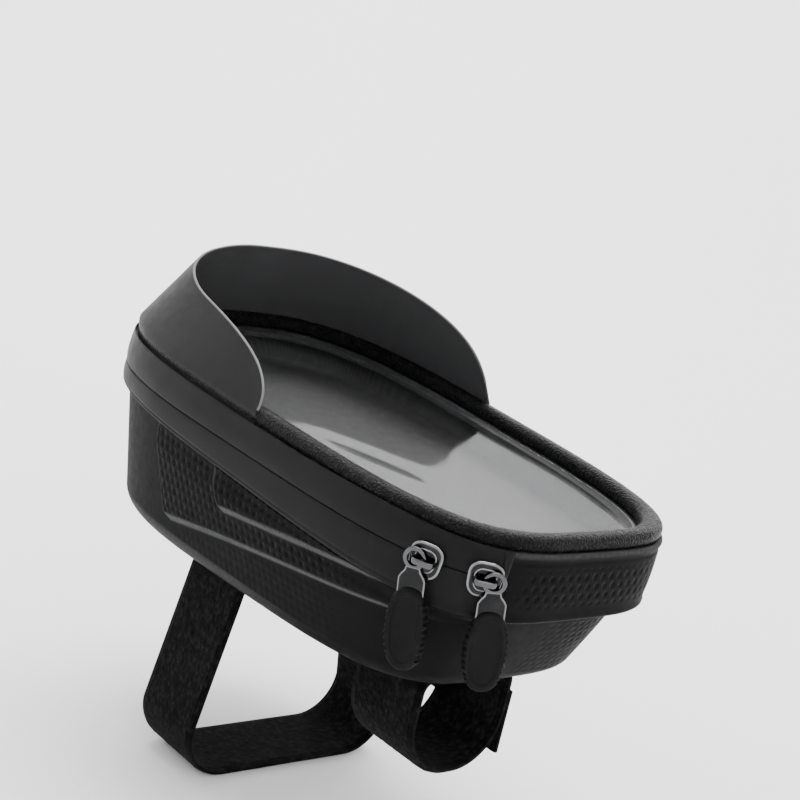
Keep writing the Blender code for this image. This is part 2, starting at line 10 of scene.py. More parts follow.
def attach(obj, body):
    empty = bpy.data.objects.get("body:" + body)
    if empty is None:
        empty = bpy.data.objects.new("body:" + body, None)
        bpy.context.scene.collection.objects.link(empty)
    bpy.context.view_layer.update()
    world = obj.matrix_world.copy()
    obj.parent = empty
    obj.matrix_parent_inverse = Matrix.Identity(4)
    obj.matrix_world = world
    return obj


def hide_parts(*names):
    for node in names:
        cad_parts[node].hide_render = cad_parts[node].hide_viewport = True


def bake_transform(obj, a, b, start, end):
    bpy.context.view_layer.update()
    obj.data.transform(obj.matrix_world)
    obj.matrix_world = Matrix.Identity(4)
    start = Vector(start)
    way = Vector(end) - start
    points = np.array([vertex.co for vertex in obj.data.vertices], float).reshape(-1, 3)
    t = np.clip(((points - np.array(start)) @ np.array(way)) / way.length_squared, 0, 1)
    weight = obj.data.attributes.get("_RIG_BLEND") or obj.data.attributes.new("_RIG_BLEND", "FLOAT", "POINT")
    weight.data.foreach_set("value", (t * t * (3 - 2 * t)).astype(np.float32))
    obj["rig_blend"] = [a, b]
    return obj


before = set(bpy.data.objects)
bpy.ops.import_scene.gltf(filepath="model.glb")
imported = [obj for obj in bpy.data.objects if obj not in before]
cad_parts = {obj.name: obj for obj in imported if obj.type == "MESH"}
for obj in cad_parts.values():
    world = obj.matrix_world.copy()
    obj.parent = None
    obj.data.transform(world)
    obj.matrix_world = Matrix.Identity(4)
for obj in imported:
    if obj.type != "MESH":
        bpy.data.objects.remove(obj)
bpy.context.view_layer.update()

bl_info = {
    "name": "Bike Phone Bag Looks",
    "version": (1, 0, 0),
    "blender": (4, 5, 0),
    "location": "3D View > Sidebar > Phone Bag",
    "description": "Builds the visible surfaces, materials, lights and camera of a bike phone bag",
    "category": "Object",
}

MM = 0.001

# These repeat the sizes of the CAD model, in millimetres
BAG_LENGTH = 188.0
BAG_WIDTH = 104.0
FRONT_SQUARENESS = 3.2
REAR_SQUARENESS = 3.9
FRONT_WIDENING = 0.05
PAD_THICKNESS = 4.2
RIM_HEIGHT = 64.0
LID_SLOPE = 0.062
ZIP_BELOW_RIM = 13.6
ZIP_SPREAD = 0.016
BAND_HEIGHT = 22.5
BAND_SPREAD = 0.019
WALL_RAKE = 0.11
WALL = 2.5
SHELL_INSET = 2.2
REAR_STEP = 3.6
REAR_STEP_DEPTH = 0.12
SIDE_DRAFT = 5.5
FRONT_DRAFT = 7.0
REAR_DRAFT = 14.0
REAR_CURVE = 1.15
BOTTOM_RADIUS = 9.0
BAND_THICKNESS = 1.0
ZIP_LEFT_END_FROM_REAR = 29.0
ZIP_RIGHT_END_FROM_REAR = 56.0
HINGE_ABOVE_ZIP = 4.2
BEAD_WIDTH = 5.4
BEAD_HEIGHT = 4.8
FLANGE_THICKNESS = 1.6
TRAY_DEPTH = 10.5
TRAY_WALL = 0.9
GAP = 0.35
WINDOW_THICKNESS = 0.5
WINDOW_CROWN = 1.2
VISOR_HEIGHT = 32.0
VISOR_LEFT_HEIGHT = 23.5
VISOR_CREST_RUN = 75.0
VISOR_SLOPE = 0.58
VISOR_THICKNESS = 0.8
VISOR_LEFT_END_Y = -5.0
VISOR_RIGHT_END_Y = 5.5
VISOR_LEFT_ROUNDING = 3.0
VISOR_RIGHT_ROUNDING = 4.5
FRONT_SLIDER_FROM_REAR = 17.5
REAR_SLIDER_FROM_REAR = 5.8
SLIDER_LENGTH = 9.2
SLIDER_HEIGHT = 9.8
SLIDER_THICKNESS = 1.3
SLIDER_CLEARANCE = 0.8
BAIL_BAR = 1.3
BAIL_RISE = 3.0
EYE_OUTER = 3.2
EYE_HOLE = 1.9
PLATE_THICKNESS = 1.0
PLATE_WIDTH = 7.6
PLATE_LENGTH = 12.0
GRIP_LENGTH = 22.4
GRIP_WIDTH = 11.8
GRIP_THICKNESS = 3.8
GRIP_NOTCHES = 9
PULL_TILT = 8.0
STRAP_WIDTH = 28.0
STRAP_THICKNESS = 1.8
FRONT_STRAP_Y = 22.5
FRONT_LOOP = (33.0, 8.0, 62.0, 16.0)
REAR_STRAP_Y = -47.0
REAR_LOOP = (18.5, 0.0, 28.0, 17.0)
STRAP_END_LENGTH = 20.0
STRAP_BEND = 5.0
PAD_WIDEST = 38.0
SHELL_BOTTOM = PAD_THICKNESS + GAP

# These belong to the looks alone, in millimetres unless said
UV_UNIT = 100.0
WALL_HEIGHT = 36.0
WALL_STEP = 1.3
WALL_ROWS = 90
FOOT_ROWS = 10
FOOT_SHARE = 0.2
PANEL_FRONTS = (38.0, 5.0)
FRONT_ZONE = 9.0
FRONT_STEP = 0.45
BAND_COLUMNS = 420
RIM_COLUMNS = 26
LIP_PROUD = 0.32
VISOR_EDGE_RADIUS = 0.40
PILE_STEP = 0.55
PILE_COLUMNS = 48
PILE_HALF_WIDTH = 13.2
FLOOR_Z = -62.1
FLOOR_FLAT = 550.0
FLOOR_CURVE = 1100.0
WALL_TOP = 3000.0
WORLD_STRENGTH = 0.10
GRIP_CUT = (
    # share of the outline, share of the half thickness, share of a notch
    (0.55, -1.0, 0.0), (0.80, -1.0, 0.0), (0.90, -0.93, 0.4), (0.97, -0.72, 0.9),
    (1.0, -0.4, 1.0), (1.0, 0.0, 1.0), (1.0, 0.4, 1.0), (0.97, 0.72, 0.9),
    (0.90, 0.93, 0.4), (0.80, 1.0, 0.0), (0.70, 1.0, 0.0), (0.665, 0.95, 0.0),
    (0.64, 0.80, 0.0), (0.61, 0.72, 0.0), (0.45, 0.70, 0.0), (0.2, 0.70, 0.0),
)
LIGHTS = (
    # name, place, aim, size in metres, watts
    ("top", (0.3, 0.35, 1.7), (0.1, 0.1, 0.0), 1.5, 46.0),
    ("backdrop", (0.2, 0.3, 1.3), (1.1, 1.2, 0.2), 1.0, 24.0),
    ("key", (-0.75, 1.0, 0.65), (0.0, 0.0, 0.03), 0.9, 1.7),
    ("fill", (-0.5, -0.95, 0.8), (0.0, 0.1, 0.08), 0.7, 4.6),
)
CAMERA_RIGHT = (0.7500, -0.6243, 0.2186)
CAMERA_BACK = (-0.6612, -0.7167, 0.2216)
PICTURE_SIZE = 800.0
PICTURE_CENTRE = (384.8, 406.8)


def number(name, default, text):
    return bpy.props.FloatProperty(name=name, description=text, default=default)


class BagSizes(bpy.types.PropertyGroup):
    """Sizes a user would change."""
    panel_step: number("Panel step", 1.8, "How far each side panel stands out, in millimetres")
    panel_bevel: number("Panel bevel", 2.3, "Width of the slope round each panel, in millimetres")
    hex_pitch: number("Emboss pitch", 3.3, "Distance between the embossed dimples, in millimetres")
    hex_depth: number("Emboss depth", 0.6, "Strength of the embossed dimples")
    band_crown: number("Band crown", 0.5, "Outward bulge of the shell's band, in millimetres")
    window_wave: number("Window wave", 0.22, "Height of the waves in the clear film, in millimetres")
    zip_opening: number("Zip opening", 0.16, "Gap between the lips of the zip, in millimetres")
    camera_distance: number("Camera distance", 0.478, "Distance from the window's middle, in metres")
    pixels_per_mm: number("Framing", 3.276, "Picture points for each millimetre at the window")


def colour(name, default, text):
    return bpy.props.FloatVectorProperty(name=name, description=text, default=default,
                                         subtype="COLOR", size=3, min=0.0, max=1.0)


class BagColours(bpy.types.PropertyGroup):
    """Colours a user would change."""
    shell: colour("Shell", (0.0052, 0.0052, 0.00536), "Moulded shell")
    band: colour("Band", (0.0075, 0.0075, 0.00773), "Smooth coated bands")
    rim: colour("Rim", (0.0062, 0.0062, 0.00639), "Grained rim")
    visor: colour("Visor", (0.008, 0.008, 0.00824), "Sun visor")
    visor_edge: colour("Visor edge", (0.1, 0.1, 0.103), "Cut edge of the visor")
    lining: colour("Lining", (0.028, 0.028, 0.02884), "Phone tray")
    metal: colour("Metal", (0.055, 0.055, 0.05665), "Plated slider and pull plate")
    rubber: colour("Rubber", (0.006, 0.006, 0.00618), "Grips and bottom pad")
    strap: colour("Strap", (0.0016, 0.0016, 0.00165), "Looped pile of the straps")


def sizes():
    return bpy.context.scene.bag_sizes


def colours():
    return bpy.context.scene.bag_colours


# Outline of the bag


def _fine_outline():
    a = np.linspace(0.0, math.pi, 1441)
    n = np.where(a < math.pi / 2, FRONT_SQUARENESS, REAR_SQUARENESS)
    c, s = np.cos(a), np.sin(a)
    y = 0.5 * BAG_LENGTH * np.sign(c) * np.abs(c) ** (2 / n)
    x = 0.5 * BAG_WIDTH * np.abs(s) ** (2 / n) * (1 + FRONT_WIDENING * 2 * y / BAG_LENGTH)
    run = np.concatenate([[0.0], np.cumsum(np.hypot(np.diff(x), np.diff(y)))])
    return x, y, run


FINE_X, FINE_Y, FINE_RUN = _fine_outline()
HALF_LENGTH = float(FINE_RUN[-1])


def outline(s):
    """Outline points at signed distances from front centre; left is negative."""
    s = np.asarray(s, float)
    s = (s + HALF_LENGTH) % (2 * HALF_LENGTH) - HALF_LENGTH
    x = np.interp(np.abs(s), FINE_RUN, FINE_X) * np.where(s < 0, -1.0, 1.0)
    y = np.interp(np.abs(s), FINE_RUN, FINE_Y)
    return np.stack([x, y], -1)


def distance_at(y):
    return float(np.interp(-y, -FINE_Y, FINE_RUN))


def inset(p, side, front=None, rear=None):
    front = side if front is None else front
    rear = side if rear is None else rear
    x = p[..., 0] * (1 - 2 * side / BAG_WIDTH)
    y = p[..., 1] * (BAG_LENGTH - front - rear) / BAG_LENGTH + 0.5 * (rear - front)
    return x, y


def ring_at(p, side, height):
    """The outline drawn in by a distance, at a height that depends on y."""
    x, y = inset(p, side)
    return np.stack([x, y, height(y)], -1)


def rim_z(y):
    return RIM_HEIGHT + LID_SLOPE * y


def zip_z(y):
    return rim_z(y) - ZIP_BELOW_RIM - ZIP_SPREAD * y


def rake(grid):
    """Leans the walls: points below the rim move forward, down to the band's lower edge."""
    out = np.array(grid, float)
    below = np.clip(rim_z(out[..., 1]) - out[..., 2], 0.0, BAND_HEIGHT)
    out[..., 1] += WALL_RAKE * below
    return out


def band_low_z(y):
    return rim_z(y) - BAND_HEIGHT + BAND_SPREAD * y


def groove_z(y):
    return rim_z(y) - BEAD_HEIGHT - 1.0


def hinge_z():
    return zip_z(-BAG_LENGTH / 2) + HINGE_ABOVE_ZIP


def zip_ends():
    return ZIP_LEFT_END_FROM_REAR - HALF_LENGTH, HALF_LENGTH - ZIP_RIGHT_END_FROM_REAR


def smooth(t):
    t = np.clip(t, 0.0, 1.0)
    return t * t * (3 - 2 * t)


def run_along(points):
    """Distance from the first point to each point of a path."""
    return np.concatenate([[0.0], np.cumsum(np.linalg.norm(np.diff(points, axis=0), axis=1))])


# Mesh helpers


def finish_mesh(name, bm, mat, body, nodes=(), angle=None):
    """Turns a bmesh in millimetres into a piece that rides on a body."""
    bmesh.ops.recalc_face_normals(bm, faces=bm.faces)
    for v in bm.verts:
        v.co *= MM
    mesh = bpy.data.meshes.new(name)
    for f in bm.faces:
        f.smooth = True
    bm.to_mesh(mesh)
    bm.free()
    if angle:
        mesh.set_sharp_from_angle(angle=math.radians(angle))
    mesh.materials.append(mat)
    obj = bpy.data.objects.new(name, mesh)
    bpy.context.scene.collection.objects.link(obj)
    if body:
        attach(obj, body)
    if nodes:
        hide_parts(*nodes)
    return obj


def skin_bmesh(grid, u=None, v=None, close_rows=False, close_cols=False, caps=False, layers=None):
    """A plain grid whose points are moved onto rows x columns of places, then welded and capped."""
    def closed(values):
        values = np.asarray(values, float)
        if close_cols:
            values = np.concatenate([values, values[:, :1]], axis=1)
        if close_rows:
            values = np.concatenate([values, values[:1]], axis=0)
        return values

    grid = closed(grid)
    rows, cols = grid.shape[:2]
    bm = bmesh.new()
    bm.loops.layers.uv.new("UVMap")
    bmesh.ops.create_grid(bm, x_segments=cols - 1, y_segments=rows - 1, size=0.5, calc_uvs=True)
    bm.verts.index_update()
    for vert, place in zip(bm.verts, grid.reshape(-1, 3)):
        vert.co = place
    layer = bm.loops.layers.uv.active
    if u is not None:
        for face in bm.faces:
            for loop in face.loops:
                index = loop.vert.index
                loop[layer].uv = (u[index % cols], v[index // cols])
    for name, values in (layers or {}).items():
        tag = bm.verts.layers.float.new(name)
        for vert, value in zip(bm.verts, closed(values).reshape(-1)):
            vert[tag] = value
    if close_rows or close_cols:
        edge = [w for w in bm.verts if w.is_boundary]
        bmesh.ops.remove_doubles(bm, verts=edge, dist=1e-4)
    if caps:
        rims = [e for e in bm.edges if e.is_boundary]
        bmesh.ops.holes_fill(bm, edges=rims, sides=0)
    return bm


# Materials


class Graph:
    """Short names for building a Principled material."""

    def __init__(self, name, base, rough, metallic=0.0, ior=None):
        self.mat = bpy.data.materials.new(name)
        self.mat.use_nodes = True
        self.tree = self.mat.node_tree
        self.bsdf = self.tree.nodes["Principled BSDF"]
        self.bsdf.inputs["Base Color"].default_value = (*base, 1.0)
        self.bsdf.inputs["Roughness"].default_value = rough
        self.bsdf.inputs["Metallic"].default_value = metallic
        if ior:
            self.bsdf.inputs["IOR"].default_value = ior
        self.base = tuple(base)
        self.coord = self.tree.nodes.new("ShaderNodeTexCoord")
        self.height = None

    def node(self, kind, **kw):
        n = self.tree.nodes.new("ShaderNode" + kind)
        for k, v in kw.items():
            setattr(n, k, v)
        return n

    def link(self, a, b):
        self.tree.links.new(a, b)

    def put(self, socket, value):
        if isinstance(value, bpy.types.NodeSocket):
            self.link(value, socket)
        else:
            socket.default_value = value

    def math(self, op, a, b=0.0, c=None):
        n = self.node("Math", operation=op)
        self.put(n.inputs[0], a)
        self.put(n.inputs[1], b)
        if c is not None:
            self.put(n.inputs[2], c)
        return n.outputs[0]

    def vec(self, op, a, b=(0.0, 0.0, 0.0)):
        n = self.node("VectorMath", operation=op)
        self.put(n.inputs[0], a)
        if op != "LENGTH":
            self.put(n.inputs[1], b)
        return n.outputs["Value"] if op == "LENGTH" else n.outputs[0]

    def mapped(self, scale, source="Object"):
        n = self.node("Mapping")
        self.link(self.coord.outputs[source], n.inputs["Vector"])
        n.inputs["Scale"].default_value = scale if isinstance(scale, tuple) else (scale,) * 3
        return n.outputs[0]

    def noise(self, scale, detail=3.0, source="Object", rough=0.55):
        n = self.node("TexNoise")
        self.link(self.mapped(scale, source), n.inputs["Vector"])
        n.inputs["Scale"].default_value = 1.0
        n.inputs["Detail"].default_value = detail
        n.inputs["Roughness"].default_value = rough
        return n.outputs[0]

    def voronoi(self, scale, feature="F1", source="Object", random=1.0):
        n = self.node("TexVoronoi", feature=feature)
        self.link(self.mapped(scale, source), n.inputs["Vector"])
        n.inputs["Scale"].default_value = 1.0
        n.inputs["Randomness"].default_value = random
        return n.outputs["Distance"]

    def stripes(self, direction, scale, source="Object"):
        n = self.node("TexWave", wave_type="BANDS", bands_direction=direction)
        self.link(self.mapped(scale, source), n.inputs["Vector"])
        n.inputs["Scale"].default_value = 1.0
        return n.outputs["Fac"]

    def mark(self, name):
        """Value that a piece's points carry under a name."""
        return self.node("Attribute", attribute_name=name).outputs["Fac"]

    def ramp(self, value, low, high, out_low=0.0, out_high=1.0):
        n = self.node("MapRange", interpolation_type="SMOOTHSTEP")
        for i, v in enumerate((value, low, high, out_low, out_high)):
            self.put(n.inputs[i], v)
        return n.outputs[0]

    def mix_base(self, factor, dark, light):
        """Base colour between two multiples of the material's own colour."""
        n = self.node("Mix", data_type="RGBA")
        self.put(n.inputs["Factor"], factor)
        n.inputs[6].default_value = (*[min(1.0, c * dark) for c in self.base], 1.0)
        n.inputs[7].default_value = (*[min(1.0, c * light) for c in self.base], 1.0)
        self.link(n.outputs[2], self.bsdf.inputs["Base Color"])

    def rough(self, factor, low, high):
        self.link(self.ramp(factor, 0.25, 0.75, low, high), self.bsdf.inputs["Roughness"])

    def bump(self, height, distance, strength=1.0):
        """Adds a bump layer; distance is in millimetres."""
        n = self.node("Bump")
        n.inputs["Strength"].default_value = strength
        n.inputs["Distance"].default_value = distance * MM
        self.link(height, n.inputs["Height"])
        if self.height is not None:
            self.link(self.height, n.inputs["Normal"])
        self.height = n.outputs[0]
        self.link(self.height, self.bsdf.inputs["Normal"])

    def dimples(self, pitch):
        """Distance from the nearest honeycomb point, 0 at a cell's middle and 0.5 between."""
        k = UV_UNIT / pitch
        p = self.mapped((k, k, 0.0), "UV")
        size = (1.0, math.sqrt(3.0), 1.0)
        half = (0.5, math.sqrt(3.0) / 2, 0.5)
        shifted = self.vec("ADD", p, (200.0, 200.0 * math.sqrt(3.0), 0.0))
        dist = []
        for start in ((0.0, 0.0, 0.0), half):
            q = self.vec("SUBTRACT", shifted, start)
            q = self.vec("MODULO", q, size)
            q = self.vec("SUBTRACT", q, half)
            q = self.vec("MULTIPLY", q, (1.0, 1.0, 0.0))
            dist.append(self.vec("LENGTH", q))
        return self.math("MINIMUM", dist[0], dist[1])


def shell_material():
    g = Graph("embossed_shell", colours().shell, 0.55, ior=1.1)
    show = g.mark("emboss")
    d = g.dimples(sizes().hex_pitch)
    # Painted shade: the middle of each dimple gets a darker base colour.
    pit = g.math("MULTIPLY", g.ramp(d, 0.12, 0.40, 1.0, 0.0), show)
    # Painted highlight: the panel edges, their lower slopes, the foot and the rear hem get a base colour up
    # to about 13 times lighter.
    painted_highlight_mask = g.mark("painted_highlight_mask")
    painted_highlight = g.math("MULTIPLY", painted_highlight_mask, g.ramp(g.noise(900.0, 4.0), 0.3, 0.7, 0.6, 1.0))
    pale = g.math("SUBTRACT", g.math("ADD", 0.05, painted_highlight), g.math("MULTIPLY", pit, 0.05))
    g.mix_base(pale, 0.4, 13.0)
    g.rough(g.noise(420.0, 4.0), 0.50, 0.62)
    g.bump(g.noise(2600.0, 2.0), 0.04, 0.25)
    g.bump(g.math("MULTIPLY", g.voronoi(1300.0), painted_highlight_mask), 0.12, 0.5)
    g.bump(g.math("SUBTRACT", 1.0, pit), 0.6, sizes().hex_depth)
    return g.mat


def band_material():
    g = Graph("coated_fabric", colours().band, 0.42, ior=1.15)
    g.mix_base(g.noise(55.0), 0.9, 1.12)
    g.rough(g.noise(140.0, 5.0), 0.40, 0.50)
    g.bump(g.voronoi(2100.0), 0.03, 0.2)
    g.bump(g.noise(48.0, 3.0), 0.4, 0.10)
    return g.mat


def rim_material():
    g = Graph("grained_rim_cover", colours().rim, 0.45, ior=1.15)
    cells = g.voronoi(900.0, "DISTANCE_TO_EDGE")
    edge = g.ramp(cells, 0.02, 0.30)
    g.mix_base(edge, 0.6, 1.25)
    g.rough(g.noise(600.0, 3.0), 0.30, 0.42)
    g.bump(edge, 0.34, 0.8)
    g.bump(g.noise(2400.0, 2.0), 0.05, 0.3)
    return g.mat


def visor_material():
    g = Graph("visor_sheet", colours().visor, 0.45, ior=1.16)
    # Painted light: the inner face's base colour is lifted several times to stand in for fill light on its
    # shaded side.
    lining = g.mark("lining")
    patchy = g.math("MULTIPLY", g.noise(40.0), 0.15)
    g.mix_base(g.math("MULTIPLY_ADD", lining, 0.85, patchy), 0.9, 7.0)
    g.rough(g.noise(260.0, 4.0), 0.42, 0.52)
    g.bump(g.noise(1500.0, 2.0), 0.04, 0.25)
    g.bump(g.noise(22.0, 2.0), 0.8, 0.08)
    return g.mat


def edge_material():
    g = Graph("visor_cut_edge", colours().visor_edge, 0.5)
    g.mix_base(g.noise(300.0), 0.8, 1.1)
    g.bump(g.noise(1800.0), 0.04, 0.3)
    return g.mat


def film_material():
    g = Graph("clear_film", (0.95, 0.96, 0.97), 0.06, 1.0)
    g.rough(g.noise(38.0, 4.0), 0.04, 0.10)
    g.bump(g.noise(36.0, 2.0), 0.25, 0.08)
    edge_on = g.node("Fresnel")
    edge_on.inputs["IOR"].default_value = 1.4
    g.link(g.math("MULTIPLY_ADD", edge_on.outputs[0], 0.09, 0.01), g.bsdf.inputs["Alpha"])
    return g.mat


def lining_material():
    g = Graph("tray_weave", colours().lining, 0.85)
    weave = g.math("MAXIMUM", g.stripes("X", 620.0), g.stripes("Y", 620.0))
    g.mix_base(weave, 0.6, 1.3)
    g.rough(g.noise(300.0), 0.78, 0.9)
    g.bump(weave, 0.12, 0.6)
    return g.mat


def metal_material():
    g = Graph("plated_metal", colours().metal, 0.22, 1.0)
    # Painted highlight: edges get a base colour up to 3.4 times the metal's, and flats drop to a fifth of
    # it.
    painted_highlight = g.mark("painted_highlight")
    patchy = g.math("MULTIPLY", g.noise(300.0, 3.0), 0.08)
    g.mix_base(g.math("MULTIPLY_ADD", painted_highlight, 0.92, patchy), 0.2, 3.4)
    g.rough(g.noise(500.0, 4.0), 0.07, 0.13)
    g.bump(g.noise(900.0, 3.0), 0.01, 0.2)
    return g.mat


def rubber_material():
    g = Graph("moulded_rubber", colours().rubber, 0.6, ior=1.14)
    g.mix_base(g.noise(300.0), 0.85, 1.25)
    g.rough(g.noise(500.0, 3.0), 0.50, 0.68)
    g.bump(g.noise(2200.0, 3.0), 0.05, 0.5)
    return g.mat


def strap_material():
    g = Graph("looped_pile", colours().strap, 0.95, ior=1.1)
    sep = g.node("SeparateXYZ")
    g.link(g.coord.outputs["UV"], sep.inputs[0])
    across = g.math("ABSOLUTE", g.math("SUBTRACT", sep.outputs[1], 0.5))
    edge = g.ramp(across, 0.43, 0.45)
    fuzz = g.noise(620.0, 5.0, rough=0.8)
    clumps = g.voronoi(430.0)
    tufts = g.math("MULTIPLY", fuzz, g.math("SUBTRACT", 1.25, clumps))
    g.mix_base(g.ramp(tufts, 0.25, 0.75), 0.2, 6.5)
    g.bsdf.inputs["Sheen Weight"].default_value = 0.07
    g.bsdf.inputs["Sheen Roughness"].default_value = 0.5
    g.bsdf.inputs["Sheen Tint"].default_value = (0.5, 0.5, 0.52, 1.0)
    rows = g.stripes("X", (60.0, 0.0, 0.0), "UV")
    g.bump(g.math("MULTIPLY", fuzz, g.math("SUBTRACT", 1.0, edge)), 0.9, 0.9)
    g.bump(g.math("MULTIPLY", rows, edge), 0.3, 0.6)
    return g.mat


def coil_material():
    g = Graph("zip_coil", (0.016, 0.016, 0.017), 0.42)
    g.mix_base(g.noise(900.0), 0.8, 1.3)
    g.bump(g.noise(2200.0), 0.04, 0.4)
    return g.mat


def floor_material():
    g = Graph("pale_floor", (0.88, 0.88, 0.88), 0.8)
    g.bsdf.inputs["Specular IOR Level"].default_value = 0.1
    g.mix_base(g.noise(3.0), 0.985, 1.0)
    return g.mat


MAKERS = {
    "shell": shell_material, "band": band_material, "rim": rim_material, "visor": visor_material,
    "edge": edge_material, "film": film_material, "lining": lining_material,
    "metal": metal_material, "rubber": rubber_material, "strap": strap_material,
    "coil": coil_material, "floor": floor_material,
}
MATS = {}


def material(key):
    """Each material is made once, when a piece first asks for it."""
    if key not in MATS:
        MATS[key] = MAKERS[key]()
    return MATS[key]


# Shell


def corner_depth(a, b, radius):
    """Distance inside a quarter plane a > 0, b > 0 with a rounded corner."""
    near = (a < radius) & (b < radius)
    return np.where(near, radius - np.hypot(radius - a, radius - b), np.minimum(a, b))


def panel_fronts(w):
    """Where along the bag the low and the high panel begin, at a share of the wall's height."""
    return 33.0 + 14.0 * (w - 0.26), 1.0 + 24.0 * (w - 0.68)


def panel_depths(y, w):
    """How far inside the low and the high panel's edges a point lies, in millimetres."""
    low_front, high_front = panel_fronts(w)
    low_line = 0.265 + 0.00458 * (33.0 - y)
    high_line = 0.665 + 0.0048 * (1.0 - y)
    low = corner_depth(low_front - y, (w - low_line) * WALL_HEIGHT, 4.0)
    high = corner_depth(high_front - y, (w - high_line) * WALL_HEIGHT, 3.0)
    return low, high


def panel_steps(y, w):
    """How far up the low and the high panel's slope a point lies, each from 0 to 1."""
    bevel = sizes().panel_bevel
    fade = smooth((y + 92.0) / 16.0)
    low, high = panel_depths(y, w)
    return smooth(low / bevel) * fade, smooth(high / bevel) * fade


def wall_row(p, w, extra=0.0, panels=True, floor=0.0):
    rise = 0.0
    if panels:
        low, high = panel_steps(p[:, 1], w)
        rise = sizes().panel_step * (1.0 - 0.45 * float(smooth((w - 0.8) / 0.2))) * (low + 0.85 * high)
    side = SHELL_INSET + SIDE_DRAFT * (1 - w) + extra - rise
    front = SHELL_INSET + FRONT_DRAFT * (1 - w) + extra - rise
    step = REAR_STEP * float(smooth((1 - w) / REAR_STEP_DEPTH))
    rear = SHELL_INSET + step + REAR_DRAFT * (1 - w) ** REAR_CURVE + extra - rise
    x, y = inset(p, side, front, rear)
    base = SHELL_BOTTOM + floor
    return np.stack([x, y, base + w * (band_low_z(y) - GAP - base)], -1)


def emboss_row(p, w):
    """Where the dimples show: full on the flat of the panels, none on their slopes."""
    low, high = panel_depths(p[:, 1], w)
    bevel = sizes().panel_bevel
    x, y = p[:, 0], p[:, 1]
    upper_slope = smooth(high + 1.0) * (1.0 - smooth((high - bevel) / 1.2))
    flat = smooth((low - bevel) / 1.2) * (1.0 - upper_slope)
    foot = 0.25 * smooth(-low - 0.5) * smooth((w - 0.12) / 0.08) * smooth((30.0 - y) / 10.0)
    side = np.where(x < 0, smooth((y + 74.0) / 34.0), 1.0)
    rear_right = smooth((x - 6.0) / 14.0) * smooth((-60.0 - y) / 14.0) * smooth((w - 0.4) / 0.2)
    return np.maximum(np.maximum(flat, foot) * side, rear_right)


def painted_highlight_row(p, w):
    """Where a painted highlight lightens the moulded skin: panel edges, their lower slopes and the foot."""
    bevel = sizes().panel_bevel
    out = 0.4 * smooth((0.2 - w) / 0.16) * smooth((p[:, 1] + 60.0) / 50.0)
    fade = smooth((p[:, 1] + 88.0) / 22.0)
    for depth, front in zip(panel_depths(p[:, 1], w), panel_fronts(w)):
        edge = np.exp(-((depth - 0.9 * bevel) / 0.38) ** 2)
        behind = smooth((front - 1.5 - p[:, 1]) / 3.0)
        slope = smooth(depth / 0.5) * smooth((bevel + 0.3 - depth) / 0.6) * behind
        out = np.maximum(out, np.maximum(0.42 * edge, slope) * fade)
    return out


def dense_stops(step, marks, near, fine):
    """Distances round the outline, closer together near the marks."""
    s = list(np.arange(-HALF_LENGTH, HALF_LENGTH, step))
    for m in marks:
        for sign in (-1, 1):
            c = sign * distance_at(m)
            s = [v for v in s if abs(v - c) > near]
            s += list(np.arange(c - near, c + near, fine))
    return np.array(sorted(s))


class BAG_OT_shell(bpy.types.Operator):
    """Moulded shell with its stepped panels and embossed skin."""
    bl_idname = "bag.shell"
    bl_label = "Shell"

    def execute(self, context):
        s = dense_stops(WALL_STEP, PANEL_FRONTS, FRONT_ZONE, FRONT_STEP)
        p = outline(s)
        rows, emboss, painted_highlight_mask = [], [], []
        for i in range(FOOT_ROWS):
            a = math.pi / 2 * i / FOOT_ROWS
            height = FOOT_SHARE * (1 - math.cos(a))
            rows.append(wall_row(p, height, extra=BOTTOM_RADIUS * (1 - math.sin(a)), panels=False))
            emboss.append(np.zeros(len(s)))
            # The rounded foot gets part of the painted highlight.
            painted_highlight_mask.append(0.4 * min(1.0, i / 5) * smooth((p[:, 1] + 60.0) / 50.0))
        for w in np.linspace(FOOT_SHARE - 0.01, 1.0, WALL_ROWS):
            rows.append(wall_row(p, float(w)))
            emboss.append(emboss_row(p, float(w)))
            painted_highlight_mask.append(painted_highlight_row(p, float(w)))
        under = BAND_THICKNESS + GAP + 0.1
        for side, height, drop in ((under, band_low_z, -GAP), (under, zip_z, -2.9),
                                   (under + WALL, zip_z, -2.9), (under + WALL, band_low_z, 1.2)):
            rows.append(ring_at(p, side, lambda y: height(y) + drop))
        for w in (1.0, 1.0 - REAR_STEP_DEPTH, 0.7, 0.5, 0.3, 0.12):
            rows.append(wall_row(p, w, extra=WALL + 0.6, panels=False, floor=WALL))
        row = wall_row(p, 0.0, extra=WALL + 5.0, panels=False)
        row[:, 2] = SHELL_BOTTOM + WALL
        rows.append(row)
        plain = [np.zeros(len(s))] * (len(rows) - len(emboss))
        grid = rake(rows)
        v = run_along(grid[:, len(s) // 4]) / UV_UNIT
        u = np.append(s, s[0] + 2 * HALF_LENGTH) / UV_UNIT
        bm = skin_bmesh(grid, u, v, close_cols=True, caps=True,
                        layers={"emboss": emboss + plain, "painted_highlight_mask": painted_highlight_mask + plain})
        finish_mesh("shell_skin", bm, material("shell"), "shell_body", ("shell",), 40)
        return {"FINISHED"}


# Zip bands, seams and teeth


def band_top_z(y):
    """Top of the lid's band, which climbs over the rim near the rear corners."""
    return groove_z(y) + 1.5 + 1.2 * np.exp(-((y + 62.0) / 30.0) ** 2)


